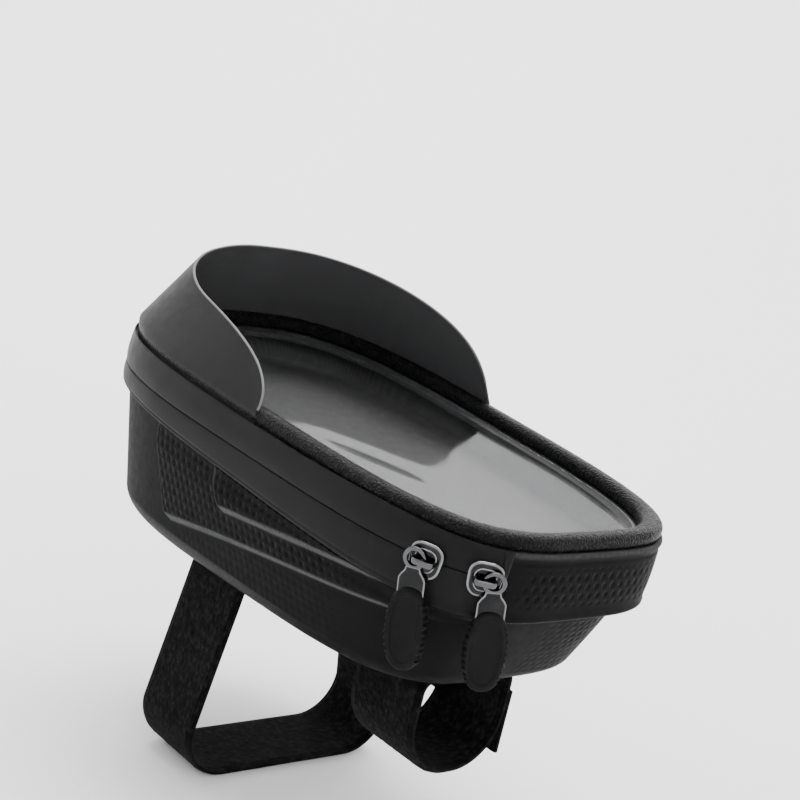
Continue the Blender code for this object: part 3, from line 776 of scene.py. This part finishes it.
def band_grid(s, low, high, shell_side):
    """Closed cut of a coated band. The shell's has a pressed line, the lid's a proud lip at its top."""
    p = outline(s)
    crown = sizes().band_crown
    out = []

    def add(side, z):
        out.append(ring_at(p, side, z))

    hem = ((0.5, 0.0), (0.2, 0.1), (0.04, 0.3), (0.0, 0.6))
    lip = ((0.5, 0.0), (-0.14, 0.03), (-0.28, 0.12), (-LIP_PROUD, 0.26))
    add(BAND_THICKNESS, low)
    for side, lift in (hem if shell_side else lip):
        add(side, lambda y, lift=lift: low(y) + lift)
    for t in np.linspace(0.08, 0.94, 26):
        if shell_side:
            line = 0.22 * math.exp(-((t - 0.16) / 0.03) ** 2)
            side = line - crown * math.sin(math.pi * t * 0.78) ** 0.8
        else:
            side = -LIP_PROUD - 0.36 * math.sin(math.pi * t ** 0.7) ** 1.1 + 0.12 * t ** 2
        add(side, lambda y, t=t: low(y) + (high(y) - low(y)) * t)
    if shell_side:
        for side, lift in lip[::-1]:
            add(side, lambda y, lift=lift: high(y) - lift)
        add(BAND_THICKNESS, high)
    else:
        for side, lift in ((-0.20, 0.3), (-0.16, 0.1), (-0.08, 0.0), (0.0, 0.1), (0.02, 1.4)):
            add(side, lambda y, lift=lift: high(y) - lift)
        add(BAND_THICKNESS, lambda y: high(y) - 1.4)
    return rake(out)


class BAG_OT_bands(bpy.types.Operator):
    """Coated bands above and below the zip, with folded end seams."""
    bl_idname = "bag.bands"
    bl_label = "Zip bands"

    def execute(self, context):
        start, end = zip_ends()
        s = np.linspace(start, end, BAND_COLUMNS)
        lip = sizes().zip_opening / 2

        def low_edge(y):
            return zip_z(y) - lip

        def high_edge(y):
            return zip_z(y) + lip

        for name, low, high, body, node in (
                ("shell_band_skin", band_low_z, low_edge, "shell_body", "shell_zip_band"),
                ("lid_band_skin", high_edge, band_top_z, "lid_body", "lid_zip_band")):
            grid = band_grid(s, low, high, node == "shell_zip_band")
            v = np.arange(grid.shape[0] + 1) / UV_UNIT
            bm = skin_bmesh(grid, s / UV_UNIT, v, close_rows=True, caps=True)
            finish_mesh(name, bm, material("band"), body, (node,), 50)
        for tag, at_s in (("left", start + 1.2), ("right", end - 1.2)):
            self.end_seam("shell", tag, at_s, band_low_z, low_edge, "shell_body")
            self.end_seam("lid", tag, at_s, high_edge, band_top_z, "lid_body")
        for node in ("shell_zip_teeth", "lid_zip_teeth"):
            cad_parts[node].data.materials[0] = material("coil")
        return {"FINISHED"}

    def end_seam(self, part, tag, at_s, low, high, body):
        """Folded cover over a band's end, a little proud of it."""
        s = np.linspace(at_s - 1.2, at_s + 1.2, 9)
        bulge = 0.45 + 0.55 * np.sin(np.linspace(0.1, math.pi - 0.1, 9))
        p = outline(s)
        n = p / np.linalg.norm(p, axis=1, keepdims=True)
        rows = []
        for t in np.linspace(0.0, 1.0, 15):
            x, y = inset(p, -0.25)
            z = low(y) + (high(y) - low(y)) * t
            out = bulge * (1.0 - 0.6 * abs(2 * t - 1) ** 6)
            xb, yb = inset(p, 0.3)
            front = np.stack([x + n[:, 0] * out, y + n[:, 1] * out, z], -1)
            back = np.stack([xb, yb, z], -1)
            rows.append(np.concatenate([front, back[::-1]]))
        bm = skin_bmesh(rake(rows), close_cols=True, caps=True)
        finish_mesh(f"{part}_end_seam_{tag}", bm, material("band"), body, (), 60)


class BAG_OT_rear_panel(bpy.types.Operator):
    """Embossed flexible panel that covers the rear and carries the lid's hinge."""
    bl_idname = "bag.rear_panel"
    bl_label = "Rear hinge panel"

    def execute(self, context):
        left, right = zip_ends()
        s = np.linspace(right + 0.4, 2 * HALF_LENGTH + left - 0.4, 170)
        p = outline(s)
        fold = hinge_z()
        out, emboss, painted_highlight_mask = [], [], []

        # pale sets how strong the painted highlight is on each row.
        def add(side, z, dimples=1.0, pale=0.0):
            out.append(ring_at(p, side, z))
            ends = smooth((s - s[0]) / 3.0) * smooth((s[-1] - s - 1.5) / 7.0)
            emboss.append(dimples * ends)
            painted_highlight_mask.append(np.full(len(s), pale))

        add(0.95, band_low_z, 0.0)
        # The lower fold's outer rows carry a painted highlight.
        for side, lift in ((0.3, 0.0), (-0.15, 0.15), (-0.55, 0.6), (-0.62, 1.2), (-0.5, 1.8)):
            add(side, lambda y, lift=lift: band_low_z(y) + lift, 0.0, 0.3 if lift < 0.5 else 0.0)
        for t in np.linspace(0.2, 1.0, 22):
            side = -0.2 - 0.3 * math.sin(math.pi * t)
            show = float(smooth((t - 0.22) / 0.16) * smooth((0.98 - t) / 0.1))
            add(side, lambda y, t=t: band_low_z(y) + (fold - band_low_z(y)) * t, show)
        for side, lift in ((-0.15, 0.35), (0.12, 0.9)):
            add(side, lambda y, lift=lift: np.full_like(y, fold + lift), 0.0)

        def hem(y):
            return groove_z(y) + 1.6

        above = fold + 0.9
        for t, side in ((0.1, 0.1), (0.25, 0.0), (0.4, -0.15), (0.55, -0.28), (0.7, -0.3),
                        (0.84, -0.2), (0.94, 0.0), (1.0, 0.4)):
            # Painted highlight growing toward the rolled hem under the rim.
            pale = 0.5 * float(smooth(2 * t - 0.6))
            add(side, lambda y, t=t: above + (hem(y) - above) * t, 0.0, pale)
        add(0.95, hem, 0.0)
        grid = rake(out)
        v = np.append(run_along(grid[:, len(s) // 2]), 0.0) / UV_UNIT
        bm = skin_bmesh(grid, s / UV_UNIT, v, close_rows=True, caps=True,
                        layers={"emboss": emboss, "painted_highlight_mask": painted_highlight_mask})
        obj = finish_mesh("rear_panel_skin", bm, material("shell"), None,
                          ("rear_skirt", "rear_hinge_panel"), 60)
        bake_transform(obj, "shell_body", "lid_body", start=(0.0, -0.0933, (fold - 1.2) * MM),
                 end=(0.0, -0.0933, (fold + 1.2) * MM))
        return {"FINISHED"}


# Lid


class BAG_OT_rim(bpy.types.Operator):
    """Rolled and grained rim round the window, and the lid's board."""
    bl_idname = "bag.rim"
    bl_label = "Rim"

    def execute(self, context):
        s = np.arange(-HALF_LENGTH, HALF_LENGTH, 1.2)
        p = outline(s)
        rows = []
        for i in range(RIM_COLUMNS):
            a = 2 * math.pi * i / RIM_COLUMNS
            across = squared(math.cos(a), 0.8) * (BEAD_WIDTH + 0.6) / 2
            rise = squared(math.sin(a), 0.8) * BEAD_HEIGHT / 2
            rows.append(ring_at(p, 0.9 + BEAD_WIDTH / 2 - across,
                                lambda y: rim_z(y) - BEAD_HEIGHT / 2 + rise))
        u = np.append(s, s[0] + 2 * HALF_LENGTH) / UV_UNIT
        v = np.arange(RIM_COLUMNS + 1) / RIM_COLUMNS * 0.16
        bm = skin_bmesh(rake(rows), u, v, close_rows=True, close_cols=True)
        finish_mesh("rim_cover", bm, material("rim"), "lid_body", ("rim_bead",))
        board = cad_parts["lid_frame"]
        board.data.materials[0] = material("lining")
        return {"FINISHED"}


class BAG_OT_window(bpy.types.Operator):
    """Clear film with soft waves, and the woven phone tray under it."""
    bl_idname = "bag.window"
    bl_label = "Window and tray"

    def execute(self, context):
        s = np.arange(-HALF_LENGTH, HALF_LENGTH, 2.0)
        p = outline(s)
        under = -BEAD_HEIGHT - GAP + 0.3
        edge = 1.2 + BEAD_WIDTH + 0.1
        wave = sizes().window_wave
        rings = []
        for t in np.linspace(0.0, 1.0, 50):
            side = edge + (BAG_WIDTH / 2 - edge - 0.4) * t
            front = edge + (BAG_LENGTH / 2 - edge - 8.0) * t
            x, y = inset(p, side, front, front)
            crown = WINDOW_CROWN * (1 - (1 - t) ** 2)
            ripple = (np.sin(x * 0.07 + y * 0.031) + np.sin(x * 0.043 - y * 0.055 + 1.3)
                      + 0.4 * np.sin(x * 0.12 + y * 0.10 + 0.5))
            pull = np.exp(-((x + 30) ** 2 / 160 + (y + 40) ** 2 / 700))
            pull = pull * np.sin((x * 0.9 + y * 0.42) * 0.4)
            lift = wave * min(1.0, 4 * t) * (ripple + pull)
            rings.append(np.stack([x, y, rim_z(y) + under + crown + lift], -1))
        lower = np.array(rings)
        upper = lower.copy()
        upper[..., 2] += WINDOW_THICKNESS
        bm = skin_bmesh(rake(np.concatenate([lower[::-1], upper])), close_cols=True, caps=True)
        finish_mesh("film", bm, material("film"), "lid_body", ("window_film",))
        self.tray(p)
        return {"FINISHED"}

    def tray(self, p):
        top = -BEAD_HEIGHT - GAP
        floor = top - FLANGE_THICKNESS - TRAY_DEPTH
        edge = BAND_THICKNESS + GAP + 0.1 + WALL + 0.6
        lip = top - FLANGE_THICKNESS - GAP
        inner = edge + TRAY_WALL
        cut = [(24.0, floor), (edge + 4.0, floor), (edge + 1.6, floor + 0.3), (edge + 0.5, floor + 1.1),
               (edge, floor + 3.0), (edge, lip), (inner, lip), (inner, floor + 3.2),
               (inner + 0.8, floor + 1.9), (inner + 2.2, floor + 1.1),
               (inner + 4.2, floor + TRAY_WALL), (24.0, floor + TRAY_WALL + 0.3)]
        rows = [ring_at(p, side, lambda y: rim_z(y) + z) for side, z in cut]
        bm = skin_bmesh(rake(rows), close_cols=True, caps=True)
        finish_mesh("tray_skin", bm, material("lining"), "lid_body", ("phone_tray",), 50)


def visor_tall(s, left, right):
    """Height of the visor; its left side is lower and rises to the crest at the front."""
    v = np.clip(np.where(s >= 0, s / right, -s / left), 0.0, 1.0)
    crest = VISOR_HEIGHT + (VISOR_LEFT_HEIGHT - VISOR_HEIGHT) * smooth(-s / VISOR_CREST_RUN)
    rounding = np.where(s >= 0, VISOR_RIGHT_ROUNDING, VISOR_LEFT_ROUNDING)
    return crest * (1 - v ** rounding) ** (1 / rounding)


class BAG_OT_visor(bpy.types.Operator):
    """Thin sun visor with its pale cut edge."""
    bl_idname = "bag.visor"
    bl_label = "Sun visor"

    def execute(self, context):
        left, right = distance_at(VISOR_LEFT_END_Y), distance_at(VISOR_RIGHT_END_Y)
        v = 0.997 * np.sin(np.pi / 2 * np.linspace(-1, 1, 201))
        s = np.where(v > 0, v * right, v * left)
        tall = visor_tall(s, left, right)
        p = outline(s)
        foot = -BEAD_HEIGHT - 0.55

        def sheet_row(t, depth):
            h = tall * t
            lean = VISOR_SLOPE * np.maximum(0.0, h - BEAD_HEIGHT)
            wave = 0.25 * np.sin(s * 0.07 + 0.6) * t * np.minimum(1.0, tall / 12.0)
            tuck = 0.4 * (1.0 - smooth((h - 1.6) / 2.0))
            x, y = inset(p, 0.55 + lean + depth + wave + tuck)
            return np.stack([x, y + WALL_RAKE * BEAD_HEIGHT, rim_z(y) + foot + h], -1)

        ts = np.linspace(0.0, 1.0, 28)
        front = [sheet_row(t, 0.0) for t in ts]
        back = [sheet_row(t, VISOR_THICKNESS) for t in ts[::-1]]
        grid = np.array(front + back)
        # Marks the inner face for its painted fill light.
        inner = [np.zeros(len(s))] * len(front) + [np.ones(len(s))] * len(back)
        bm = skin_bmesh(grid, s / UV_UNIT, np.arange(len(grid) + 1) / UV_UNIT, close_rows=True,
                        caps=True, layers={"lining": inner})
        finish_mesh("visor_sheet", bm, material("visor"), "lid_body", ("sun_visor",), 40)
        centre = 0.5 * (sheet_row(1.0, 0.0) + sheet_row(1.0, VISOR_THICKNESS))
        bm = round_bar(centre, VISOR_EDGE_RADIUS, 8)
        finish_mesh("visor_edge", bm, material("edge"), "lid_body", ())
        return {"FINISHED"}


def round_bar(path, radius, around):
    """Round bar along an open path of points."""
    path = np.asarray(path, float)
    tangent = np.gradient(path, axis=0)
    tangent /= np.linalg.norm(tangent, axis=1, keepdims=True)
    side = np.cross(tangent, [0.0, 0.0, 1.0])
    weak = np.linalg.norm(side, axis=1) < 0.2
    side[weak] = np.cross(tangent[weak], [1.0, 0.0, 0.0])
    for i in range(1, len(side)):
        if side[i] @ side[i - 1] < 0:
            side[i] = -side[i]
    side /= np.linalg.norm(side, axis=1, keepdims=True)
    other = np.cross(side, tangent)
    a = np.linspace(0, 2 * math.pi, around, endpoint=False)
    grid = np.array([path + radius * (math.cos(t) * side + math.sin(t) * other) for t in a])
    return skin_bmesh(grid, close_rows=True, caps=True)


# Sliders and pulls


def zip_frame(y_value):
    """Local frame on the left side: forward along the zip, out of the bag, and up."""
    p = outline(-distance_at(y_value) + np.array([-1.0, 0.0, 1.0]))
    behind, origin, ahead = (Vector(q) for q in rake(np.column_stack([p, zip_z(p[:, 1])])))
    forward = (ahead - behind).normalized()
    out = Vector((0.0, -WALL_RAKE, 1.0)).cross(forward).normalized()
    up = forward.cross(out)
    m = Matrix((forward, out, up)).transposed().to_4x4()
    m.translation = origin
    return m


def prism_bmesh(points, near, far, bevel, segments=3, rim=0.0):
    """A flat face (forward, up) extruded outward, its rims bevelled and, on request, marked for a painted
    highlight.
    """
    bm = bmesh.new()
    ring = [bm.verts.new((u, near, v)) for u, v in points]
    face = bmesh.ops.contextual_create(bm, geom=ring)["faces"]
    raised = bmesh.ops.extrude_face_region(bm, geom=face, use_keep_orig=True)["geom"]
    moved = [v for v in raised if isinstance(v, bmesh.types.BMVert)]
    bmesh.ops.translate(bm, verts=moved, vec=(0.0, far - near, 0.0))
    bmesh.ops.recalc_face_normals(bm, faces=bm.faces)
    rims = [e for e in bm.edges if abs(e.verts[0].co.y - e.verts[1].co.y) < 1e-6]
    bmesh.ops.bevel(bm, geom=rims, offset=bevel, segments=segments, profile=0.5, affect="EDGES",
                    material=-1)
    if rim:
        front = max(bm.faces, key=lambda f: f.calc_center_median().y)
        bmesh.ops.inset_region(bm, faces=[front], thickness=rim, use_even_offset=True)
        # Painted highlight on the bevels and the inset rim; the front face keeps the dark flat colour.
        mark_painted_highlight(bm, 1.0)
        painted_highlight = bm.verts.layers.float["painted_highlight"]
        for v in front.verts:
            v[painted_highlight] = 0.0
    return bm


def mark_painted_highlight(bm, amount):
    """Marks how strong the painted highlight on the plating is, from 0 on flats to 1 on edges."""
    painted_highlight = bm.verts.layers.float.get("painted_highlight") or bm.verts.layers.float.new("painted_highlight")
    for v in bm.verts:
        v[painted_highlight] = amount


def rounded(length, height, radius, steps=6):
    out = []
    for cx, cy, start in ((1, 1, 0), (-1, 1, 90), (-1, -1, 180), (1, -1, 270)):
        for i in range(steps + 1):
            a = math.radians(start + 90 * i / steps)
            out.append((cx * (length / 2 - radius) + radius * math.cos(a),
                        cy * (height / 2 - radius) + radius * math.sin(a)))
    return out


def squared(value, power):
    """A sine or cosine pushed outward, so that a circle becomes a rounded square."""
    return math.copysign(abs(value) ** power, value)


def spun_ring(radius, half_width, half_depth, power, steps):
    """Ring about the outward axis, spun from a rounded section."""
    bm = bmesh.new()
    section = []
    for i in range(14):
        b = 2 * math.pi * i / 14
        section.append(bm.verts.new((radius + half_width * squared(math.cos(b), power),
                                     half_depth * squared(math.sin(b), power), 0.0)))
    loop = [bm.edges.new((a, b)) for a, b in zip(section, section[1:] + section[:1])]
    bmesh.ops.spin(bm, geom=section + loop, cent=(0, 0, 0), axis=(0, 1, 0), angle=2 * math.pi,
                   steps=steps, use_merge=True)
    return bm


def bent_bar(path, half_u, half_v):
    """Bar with a rounded cut along a path in the forward-outward plane."""
    path = np.asarray(path, float)
    tangent = np.gradient(path, axis=0)
    tangent /= np.linalg.norm(tangent, axis=1, keepdims=True)
    normal = np.stack([-tangent[:, 1], tangent[:, 0]], -1)
    ring = []
    for i in range(12):
        a = 2 * math.pi * i / 12
        cu = squared(math.cos(a), 0.6) * half_u
        cv = squared(math.sin(a), 0.6) * half_v
        q = path + normal * cu
        ring.append(np.stack([q[:, 0], q[:, 1], np.full(len(q), cv)], -1))
    return skin_bmesh(ring, close_rows=True, caps=True)


# Joined parts are put in order along this way, so that each run gives the same mesh
SORT_WAY = Vector((97.3, 13.7, 1.9))


def join_bmeshes(parts):
    bm = bmesh.new()
    for part in parts:
        mesh = bpy.data.meshes.new("part")
        bmesh.ops.recalc_face_normals(part, faces=part.faces)
        part.to_mesh(mesh)
        part.free()
        bm.from_mesh(mesh)
        bpy.data.meshes.remove(mesh)
    bm.verts.sort(key=lambda v: v.co.dot(SORT_WAY))
    bm.faces.sort(key=lambda f: f.calc_center_median().dot(SORT_WAY))
    return bm


class BAG_OT_sliders(bpy.types.Operator):
    """Two cast sliders, their pressed plates and notched rubber grips."""
    bl_idname = "bag.sliders"
    bl_label = "Sliders and pulls"

    def execute(self, context):
        rear_end = -BAG_LENGTH / 2
        self.slider("front", rear_end + FRONT_SLIDER_FROM_REAR, 1)
        self.slider("rear", rear_end + REAR_SLIDER_FROM_REAR, -1)
        return {"FINISHED"}

    def slider(self, tag, y_value, way):
        m = zip_frame(y_value)
        near, far = SLIDER_CLEARANCE, SLIDER_CLEARANCE + SLIDER_THICKNESS
        shield = [(u * (1.0 + 0.02 * v), v) for u, v in rounded(SLIDER_LENGTH, SLIDER_HEIGHT, 3.4)]
        base = prism_bmesh(shield, near, far, 0.45, 4, 0.3)
        inner = [(u * 0.66, v * 0.66) for u, v in shield]
        crown = prism_bmesh(inner, far - 0.4, far + 0.25, 0.24, 3, 0.25)
        thin = 0.7 * sizes().zip_opening / 2
        blade = [(-2.4, -thin), (2.4, -thin), (2.4, thin), (-2.4, thin)]
        stem = prism_bmesh(blade, -0.85, near + 0.4, 0.1, 1)
        half = SLIDER_LENGTH / 2 - 1.4 - BAIL_BAR / 2
        top = far + BAIL_RISE - BAIL_BAR / 2
        path = [(-half, far - 0.4), (-half, top - 1.1)]
        for i in range(1, 7):
            a = math.pi / 2 * i / 6
            path.append((-half + 1.0 - 1.0 * math.cos(a), top - 1.0 + 1.0 * math.sin(a)))
        path += [(-u, w) for u, w in path[::-1]]
        bail = bent_bar(path, BAIL_BAR / 2, 0.85)
        # The bail carries a half-strength painted highlight.
        mark_painted_highlight(bail, 0.45)
        bm = join_bmeshes([base, crown, stem, bail])
        bm.transform(m)
        finish_mesh(f"slider_cast_{tag}", bm, material("metal"), f"{tag}_slider",
                    (f"slider_{tag}",), 40)
        self.pull(tag, m, way * half, far + 0.3)

    def pull(self, tag, m, eye, near):
        local = m @ Matrix.Translation((eye, 0, 0)) @ Matrix.Rotation(math.radians(PULL_TILT), 4, "Y")
        mid = near + PLATE_THICKNESS / 2
        ring = spun_ring(0.5 * (EYE_OUTER + EYE_HOLE), 0.5 * (EYE_OUTER - EYE_HOLE),
                         PLATE_THICKNESS / 2, 0.7, 40)
        bmesh.ops.translate(ring, verts=ring.verts, vec=(0.0, mid, 0.0))
        half = PLATE_WIDTH / 2
        shape = [(2.0, -2.2), (2.3, -3.4), (half - 0.6, -4.5), (half, -5.6), (half, -PLATE_LENGTH),
                 (-half, -PLATE_LENGTH), (-half, -5.6), (-half + 0.6, -4.5), (-2.3, -3.4), (-2.0, -2.2)]
        plate = prism_bmesh(shape, near, near + PLATE_THICKNESS, 0.25, 4, 0.25)
        # The pull's eye carries a half-strength painted highlight.
        mark_painted_highlight(ring, 0.45)
        bm = join_bmeshes([plate, ring])
        bm.transform(local)
        finish_mesh(f"pull_plate_skin_{tag}", bm, material("metal"), f"{tag}_pull",
                    (f"pull_plate_{tag}",), 40)
        self.grip(tag, local, mid)

    def grip(self, tag, local, mid):
        count = 240
        top = -0.65 * PLATE_LENGTH
        centre = top - GRIP_LENGTH / 2
        half_t = GRIP_THICKNESS / 2
        a = np.linspace(0, 2 * math.pi, count, endpoint=False)
        u = GRIP_WIDTH / 2 * np.sign(np.cos(a)) * np.abs(np.cos(a)) ** 0.86
        v = GRIP_LENGTH / 2 * np.sign(np.sin(a)) * np.abs(np.sin(a)) ** 0.9
        span = GRIP_LENGTH * 0.36
        wave = np.cos(2 * math.pi * GRIP_NOTCHES * v / (2 * span))
        notch = np.where(np.abs(v) < span, 0.45 * (1 - wave), 0.0)
        rows = []
        for scale, depth, bite in GRIP_CUT:
            side = (np.abs(u) - notch * bite) * np.sign(u)
            rows.append(np.stack([side * scale, np.full(count, mid + depth * half_t),
                                  centre + v * (1 - (1 - scale) * 0.55)], -1))
        bm = skin_bmesh(rows, close_cols=True, caps=True)
        bm.transform(local)
        finish_mesh(f"pull_grip_skin_{tag}", bm, material("rubber"), f"{tag}_pull",
                    (f"pull_grip_{tag}",), 50)


# Straps and pad


def arc(cx, cz, radius, start, end, steps):
    a = np.radians(np.linspace(start, end, steps + 1))
    return [(cx + radius * math.cos(t), cz + radius * math.sin(t)) for t in a]


def strap_loop(half, flare, drop, low_radius, offset):
    top = PAD_THICKNESS - GAP + offset
    bend = STRAP_BEND + offset
    low = low_radius + offset
    left = -half - offset
    out = arc(left + bend, top - bend, bend, 90, 180, 10)
    out += arc(left - flare + low, -drop + low_radius, low, 180, 270, 18)
    right = [(-x, z) for x, z in out][::-1]
    return out + right


def resample_loop(points, step):
    q = np.array(points + points[:1])
    run = run_along(q)
    n = int(run[-1] / step)
    t = np.linspace(0, run[-1], n, endpoint=False)
    return np.stack([np.interp(t, run, q[:, 0]), np.interp(t, run, q[:, 1])], -1), run[-1]


class BAG_OT_straps(bpy.types.Operator):
    """Hook-and-loop straps in looped pile, and the rubber bottom pad."""
    bl_idname = "bag.straps"
    bl_label = "Straps and pad"

    def execute(self, context):
        self.strap("front_strap", FRONT_STRAP_Y, FRONT_LOOP)
        self.strap("rear_strap", REAR_STRAP_Y, REAR_LOOP)
        self.pad()
        return {"FINISHED"}

    def strap(self, name, y0, loop):
        half, flare, drop, low = loop
        mid, length = resample_loop(strap_loop(half, flare, drop, low, -STRAP_THICKNESS / 2),
                                    PILE_STEP)
        tangent = np.roll(mid, -1, 0) - np.roll(mid, 1, 0)
        tangent /= np.linalg.norm(tangent, axis=1, keepdims=True)
        normal = np.stack([tangent[:, 1], -tangent[:, 0]], -1)
        n = len(mid)
        s = np.arange(n) * PILE_STEP
        cut = self.cut()
        pile = np.random.default_rng(11)
        rows = []
        for across, depth, _ in cut:
            off = depth + self.fuzz(pile, across, depth, 0.09, n)
            q = mid - normal * off[:, None]
            rows.append(np.stack([q[:, 0], np.full(n, y0 + across), q[:, 1]], -1))
        v = [c[2] for c in cut] + [0.0]
        u = np.append(s, length) / UV_UNIT
        bm = skin_bmesh(rows, u, v, close_rows=True, close_cols=True)
        finish_mesh(name + "_web", bm, material("strap"), "shell_body", (name,), 60)
        self.strap_end(name, y0, loop)

    def fuzz(self, pile, across, depth, spread, count):
        """Uneven loops that stand out of both faces, but not of the woven edges."""
        out = math.copysign(1.0, depth) * pile.normal(0.0, spread, count)
        return out * (abs(across) < PILE_HALF_WIDTH)

    def cut(self):
        """Across, depth and UV of the points round the strap's cut."""
        half_w, half_t = STRAP_WIDTH / 2, STRAP_THICKNESS / 2
        there = [i / PILE_COLUMNS for i in range(PILE_COLUMNS + 1)]
        out = []
        for face, stops in ((-half_t, there), (half_t, [1 - t for t in there])):
            for t in stops:
                across = -half_w + 2 * half_w * t
                edge = min(1.0, (half_w - abs(across)) / 1.3)
                out.append((across, face * (0.55 + 0.45 * edge), t))
        return out

    def strap_end(self, name, y0, loop):
        half, flare, drop, low = loop
        start = -drop * 0.16
        top = PAD_THICKNESS - GAP - STRAP_BEND
        slope = flare / (top + drop - low)
        rows = []
        ts = np.linspace(0.0, 1.0, 37)
        z = start - STRAP_END_LENGTH * ts
        pile = np.random.default_rng(5)
        for across, depth, _ in self.cut():
            fuzz = self.fuzz(pile, across, depth, 0.08, len(z))
            off = 0.3 + STRAP_THICKNESS / 2 + depth * 0.95 + fuzz
            y = np.full(len(z), y0 + across * 0.96)
            rows.append(np.stack([half + off + slope * (top - z), y, z], -1))
        v = [c[2] for c in self.cut()] + [0.0]
        bm = skin_bmesh(rows, ts * STRAP_END_LENGTH / UV_UNIT, v, close_rows=True, caps=True)
        finish_mesh(name + "_end_web", bm, material("strap"), "shell_body", (name + "_end",),
                    60)

    def pad(self):
        groove = STRAP_THICKNESS + 0.7
        half_strap = STRAP_WIDTH / 2 + 0.6
        top = PAD_THICKNESS
        rear = REAR_STRAP_Y - half_strap - 3.0
        front = FRONT_STRAP_Y + half_strap + 8.0
        cut = [(rear, 1.2), (rear + 1.2, 0.0), (front - 1.2, 0.0), (front, 1.2), (front, top)]
        for y in (FRONT_STRAP_Y, REAR_STRAP_Y):
            cut += [(y + half_strap, top), (y + half_strap, top - groove),
                    (y - half_strap, top - groove), (y - half_strap, top)]
        cut.append((rear, top))
        half_pad = min(PAD_WIDEST / 2, REAR_LOOP[0] - STRAP_BEND - 1.0)
        bm = prism_bmesh(cut, -half_pad, half_pad, 0.5, 2)
        bm.transform(Matrix(((0, 1, 0, 0), (1, 0, 0, 0), (0, 0, 1, 0), (0, 0, 0, 1))))
        finish_mesh("pad_skin", bm, material("rubber"), "shell_body", ("bottom_pad",),
                    40)


# Stage


class BAG_OT_stage(bpy.types.Operator):
    """Pale floor that curves up all round, soft lights and the camera."""
    bl_idname = "bag.stage"
    bl_label = "Stage"

    def execute(self, context):
        profile = [(0.0, 0.0), (FLOOR_FLAT, 0.0)]
        profile += [(FLOOR_FLAT + FLOOR_CURVE * math.sin(a), FLOOR_CURVE * (1.0 - math.cos(a)))
                    for a in np.linspace(0.05, 1.57, 20)]
        profile.append((FLOOR_FLAT + FLOOR_CURVE, WALL_TOP))
        bm = bmesh.new()
        line = [bm.verts.new((r, 0.0, z + FLOOR_Z)) for r, z in profile]
        edges = [bm.edges.new(pair) for pair in zip(line, line[1:])]
        bmesh.ops.spin(bm, geom=line + edges, cent=(0, 0, 0), axis=(0, 0, 1), angle=2 * math.pi,
                       steps=72, use_merge=True)
        bmesh.ops.remove_doubles(bm, verts=bm.verts, dist=0.01)
        floor = finish_mesh("floor", bm, material("floor"), None)
        self.lights()
        self.camera()
        return {"FINISHED"}

    def lights(self):
        world = bpy.data.worlds.new("studio")
        world.use_nodes = True
        sky = world.node_tree.nodes["Background"].inputs
        sky["Color"].default_value = (1.0, 1.0, 1.0, 1.0)
        sky["Strength"].default_value = WORLD_STRENGTH
        bpy.context.scene.world = world
        for name, place, aim_at, size, power in LIGHTS:
            data = bpy.data.lights.new(name, "AREA")
            data.shape = "SQUARE"
            data.size = size
            data.energy = power
            light = bpy.data.objects.new(name, data)
            light.location = place
            aim = Vector(aim_at) - Vector(place)
            light.rotation_euler = aim.to_track_quat("-Z", "Y").to_euler()
            bpy.context.scene.collection.objects.link(light)

    def camera(self):
        sz = sizes()
        right = Vector(CAMERA_RIGHT).normalized()
        back = Vector(CAMERA_BACK)
        back = (back - right * back.dot(right)).normalized()
        up = back.cross(right)
        centre = Vector((0.0, 0.0, RIM_HEIGHT * MM))
        data = bpy.data.cameras.new("camera")
        data.sensor_width = 36.0
        data.lens = sz.pixels_per_mm * sz.camera_distance / MM / PICTURE_SIZE * data.sensor_width
        data.shift_x = 0.5 - PICTURE_CENTRE[0] / PICTURE_SIZE
        data.shift_y = PICTURE_CENTRE[1] / PICTURE_SIZE - 0.5
        data.clip_start = 0.01
        camera = bpy.data.objects.new("camera", data)
        m = Matrix((right, up, back)).transposed().to_4x4()
        m.translation = centre + back * sz.camera_distance
        camera.matrix_world = m
        bpy.context.scene.collection.objects.link(camera)
        bpy.context.scene.camera = camera


class BAG_PT_panel(bpy.types.Panel):
    """Lists the operators and the settings."""
    bl_idname = "BAG_PT_panel"
    bl_label = "Phone Bag"
    bl_space_type = "VIEW_3D"
    bl_region_type = "UI"
    bl_category = "Phone Bag"

    def draw(self, context):
        layout = self.layout
        for op in OPERATORS:
            layout.operator(op.bl_idname)
        for group in (context.scene.bag_sizes, context.scene.bag_colours):
            for key in group.__annotations__:
                layout.prop(group, key)


OPERATORS = (BAG_OT_shell, BAG_OT_bands, BAG_OT_rear_panel, BAG_OT_rim, BAG_OT_window,
             BAG_OT_visor, BAG_OT_sliders, BAG_OT_straps, BAG_OT_stage)
CLASSES = (BagSizes, BagColours, *OPERATORS, BAG_PT_panel)


def register():
    for cls in CLASSES:
        bpy.utils.register_class(cls)
    bpy.types.Scene.bag_sizes = bpy.props.PointerProperty(type=BagSizes)
    bpy.types.Scene.bag_colours = bpy.props.PointerProperty(type=BagColours)


def unregister():
    del bpy.types.Scene.bag_colours
    del bpy.types.Scene.bag_sizes
    for cls in reversed(CLASSES):
        bpy.utils.unregister_class(cls)


def main():
    register()
    bpy.ops.bag.shell()
    bpy.ops.bag.bands()
    bpy.ops.bag.rear_panel()
    bpy.ops.bag.rim()
    bpy.ops.bag.window()
    bpy.ops.bag.visor()
    bpy.ops.bag.sliders()
    bpy.ops.bag.straps()
    bpy.ops.bag.stage()


if __name__ == "__main__":
    main()
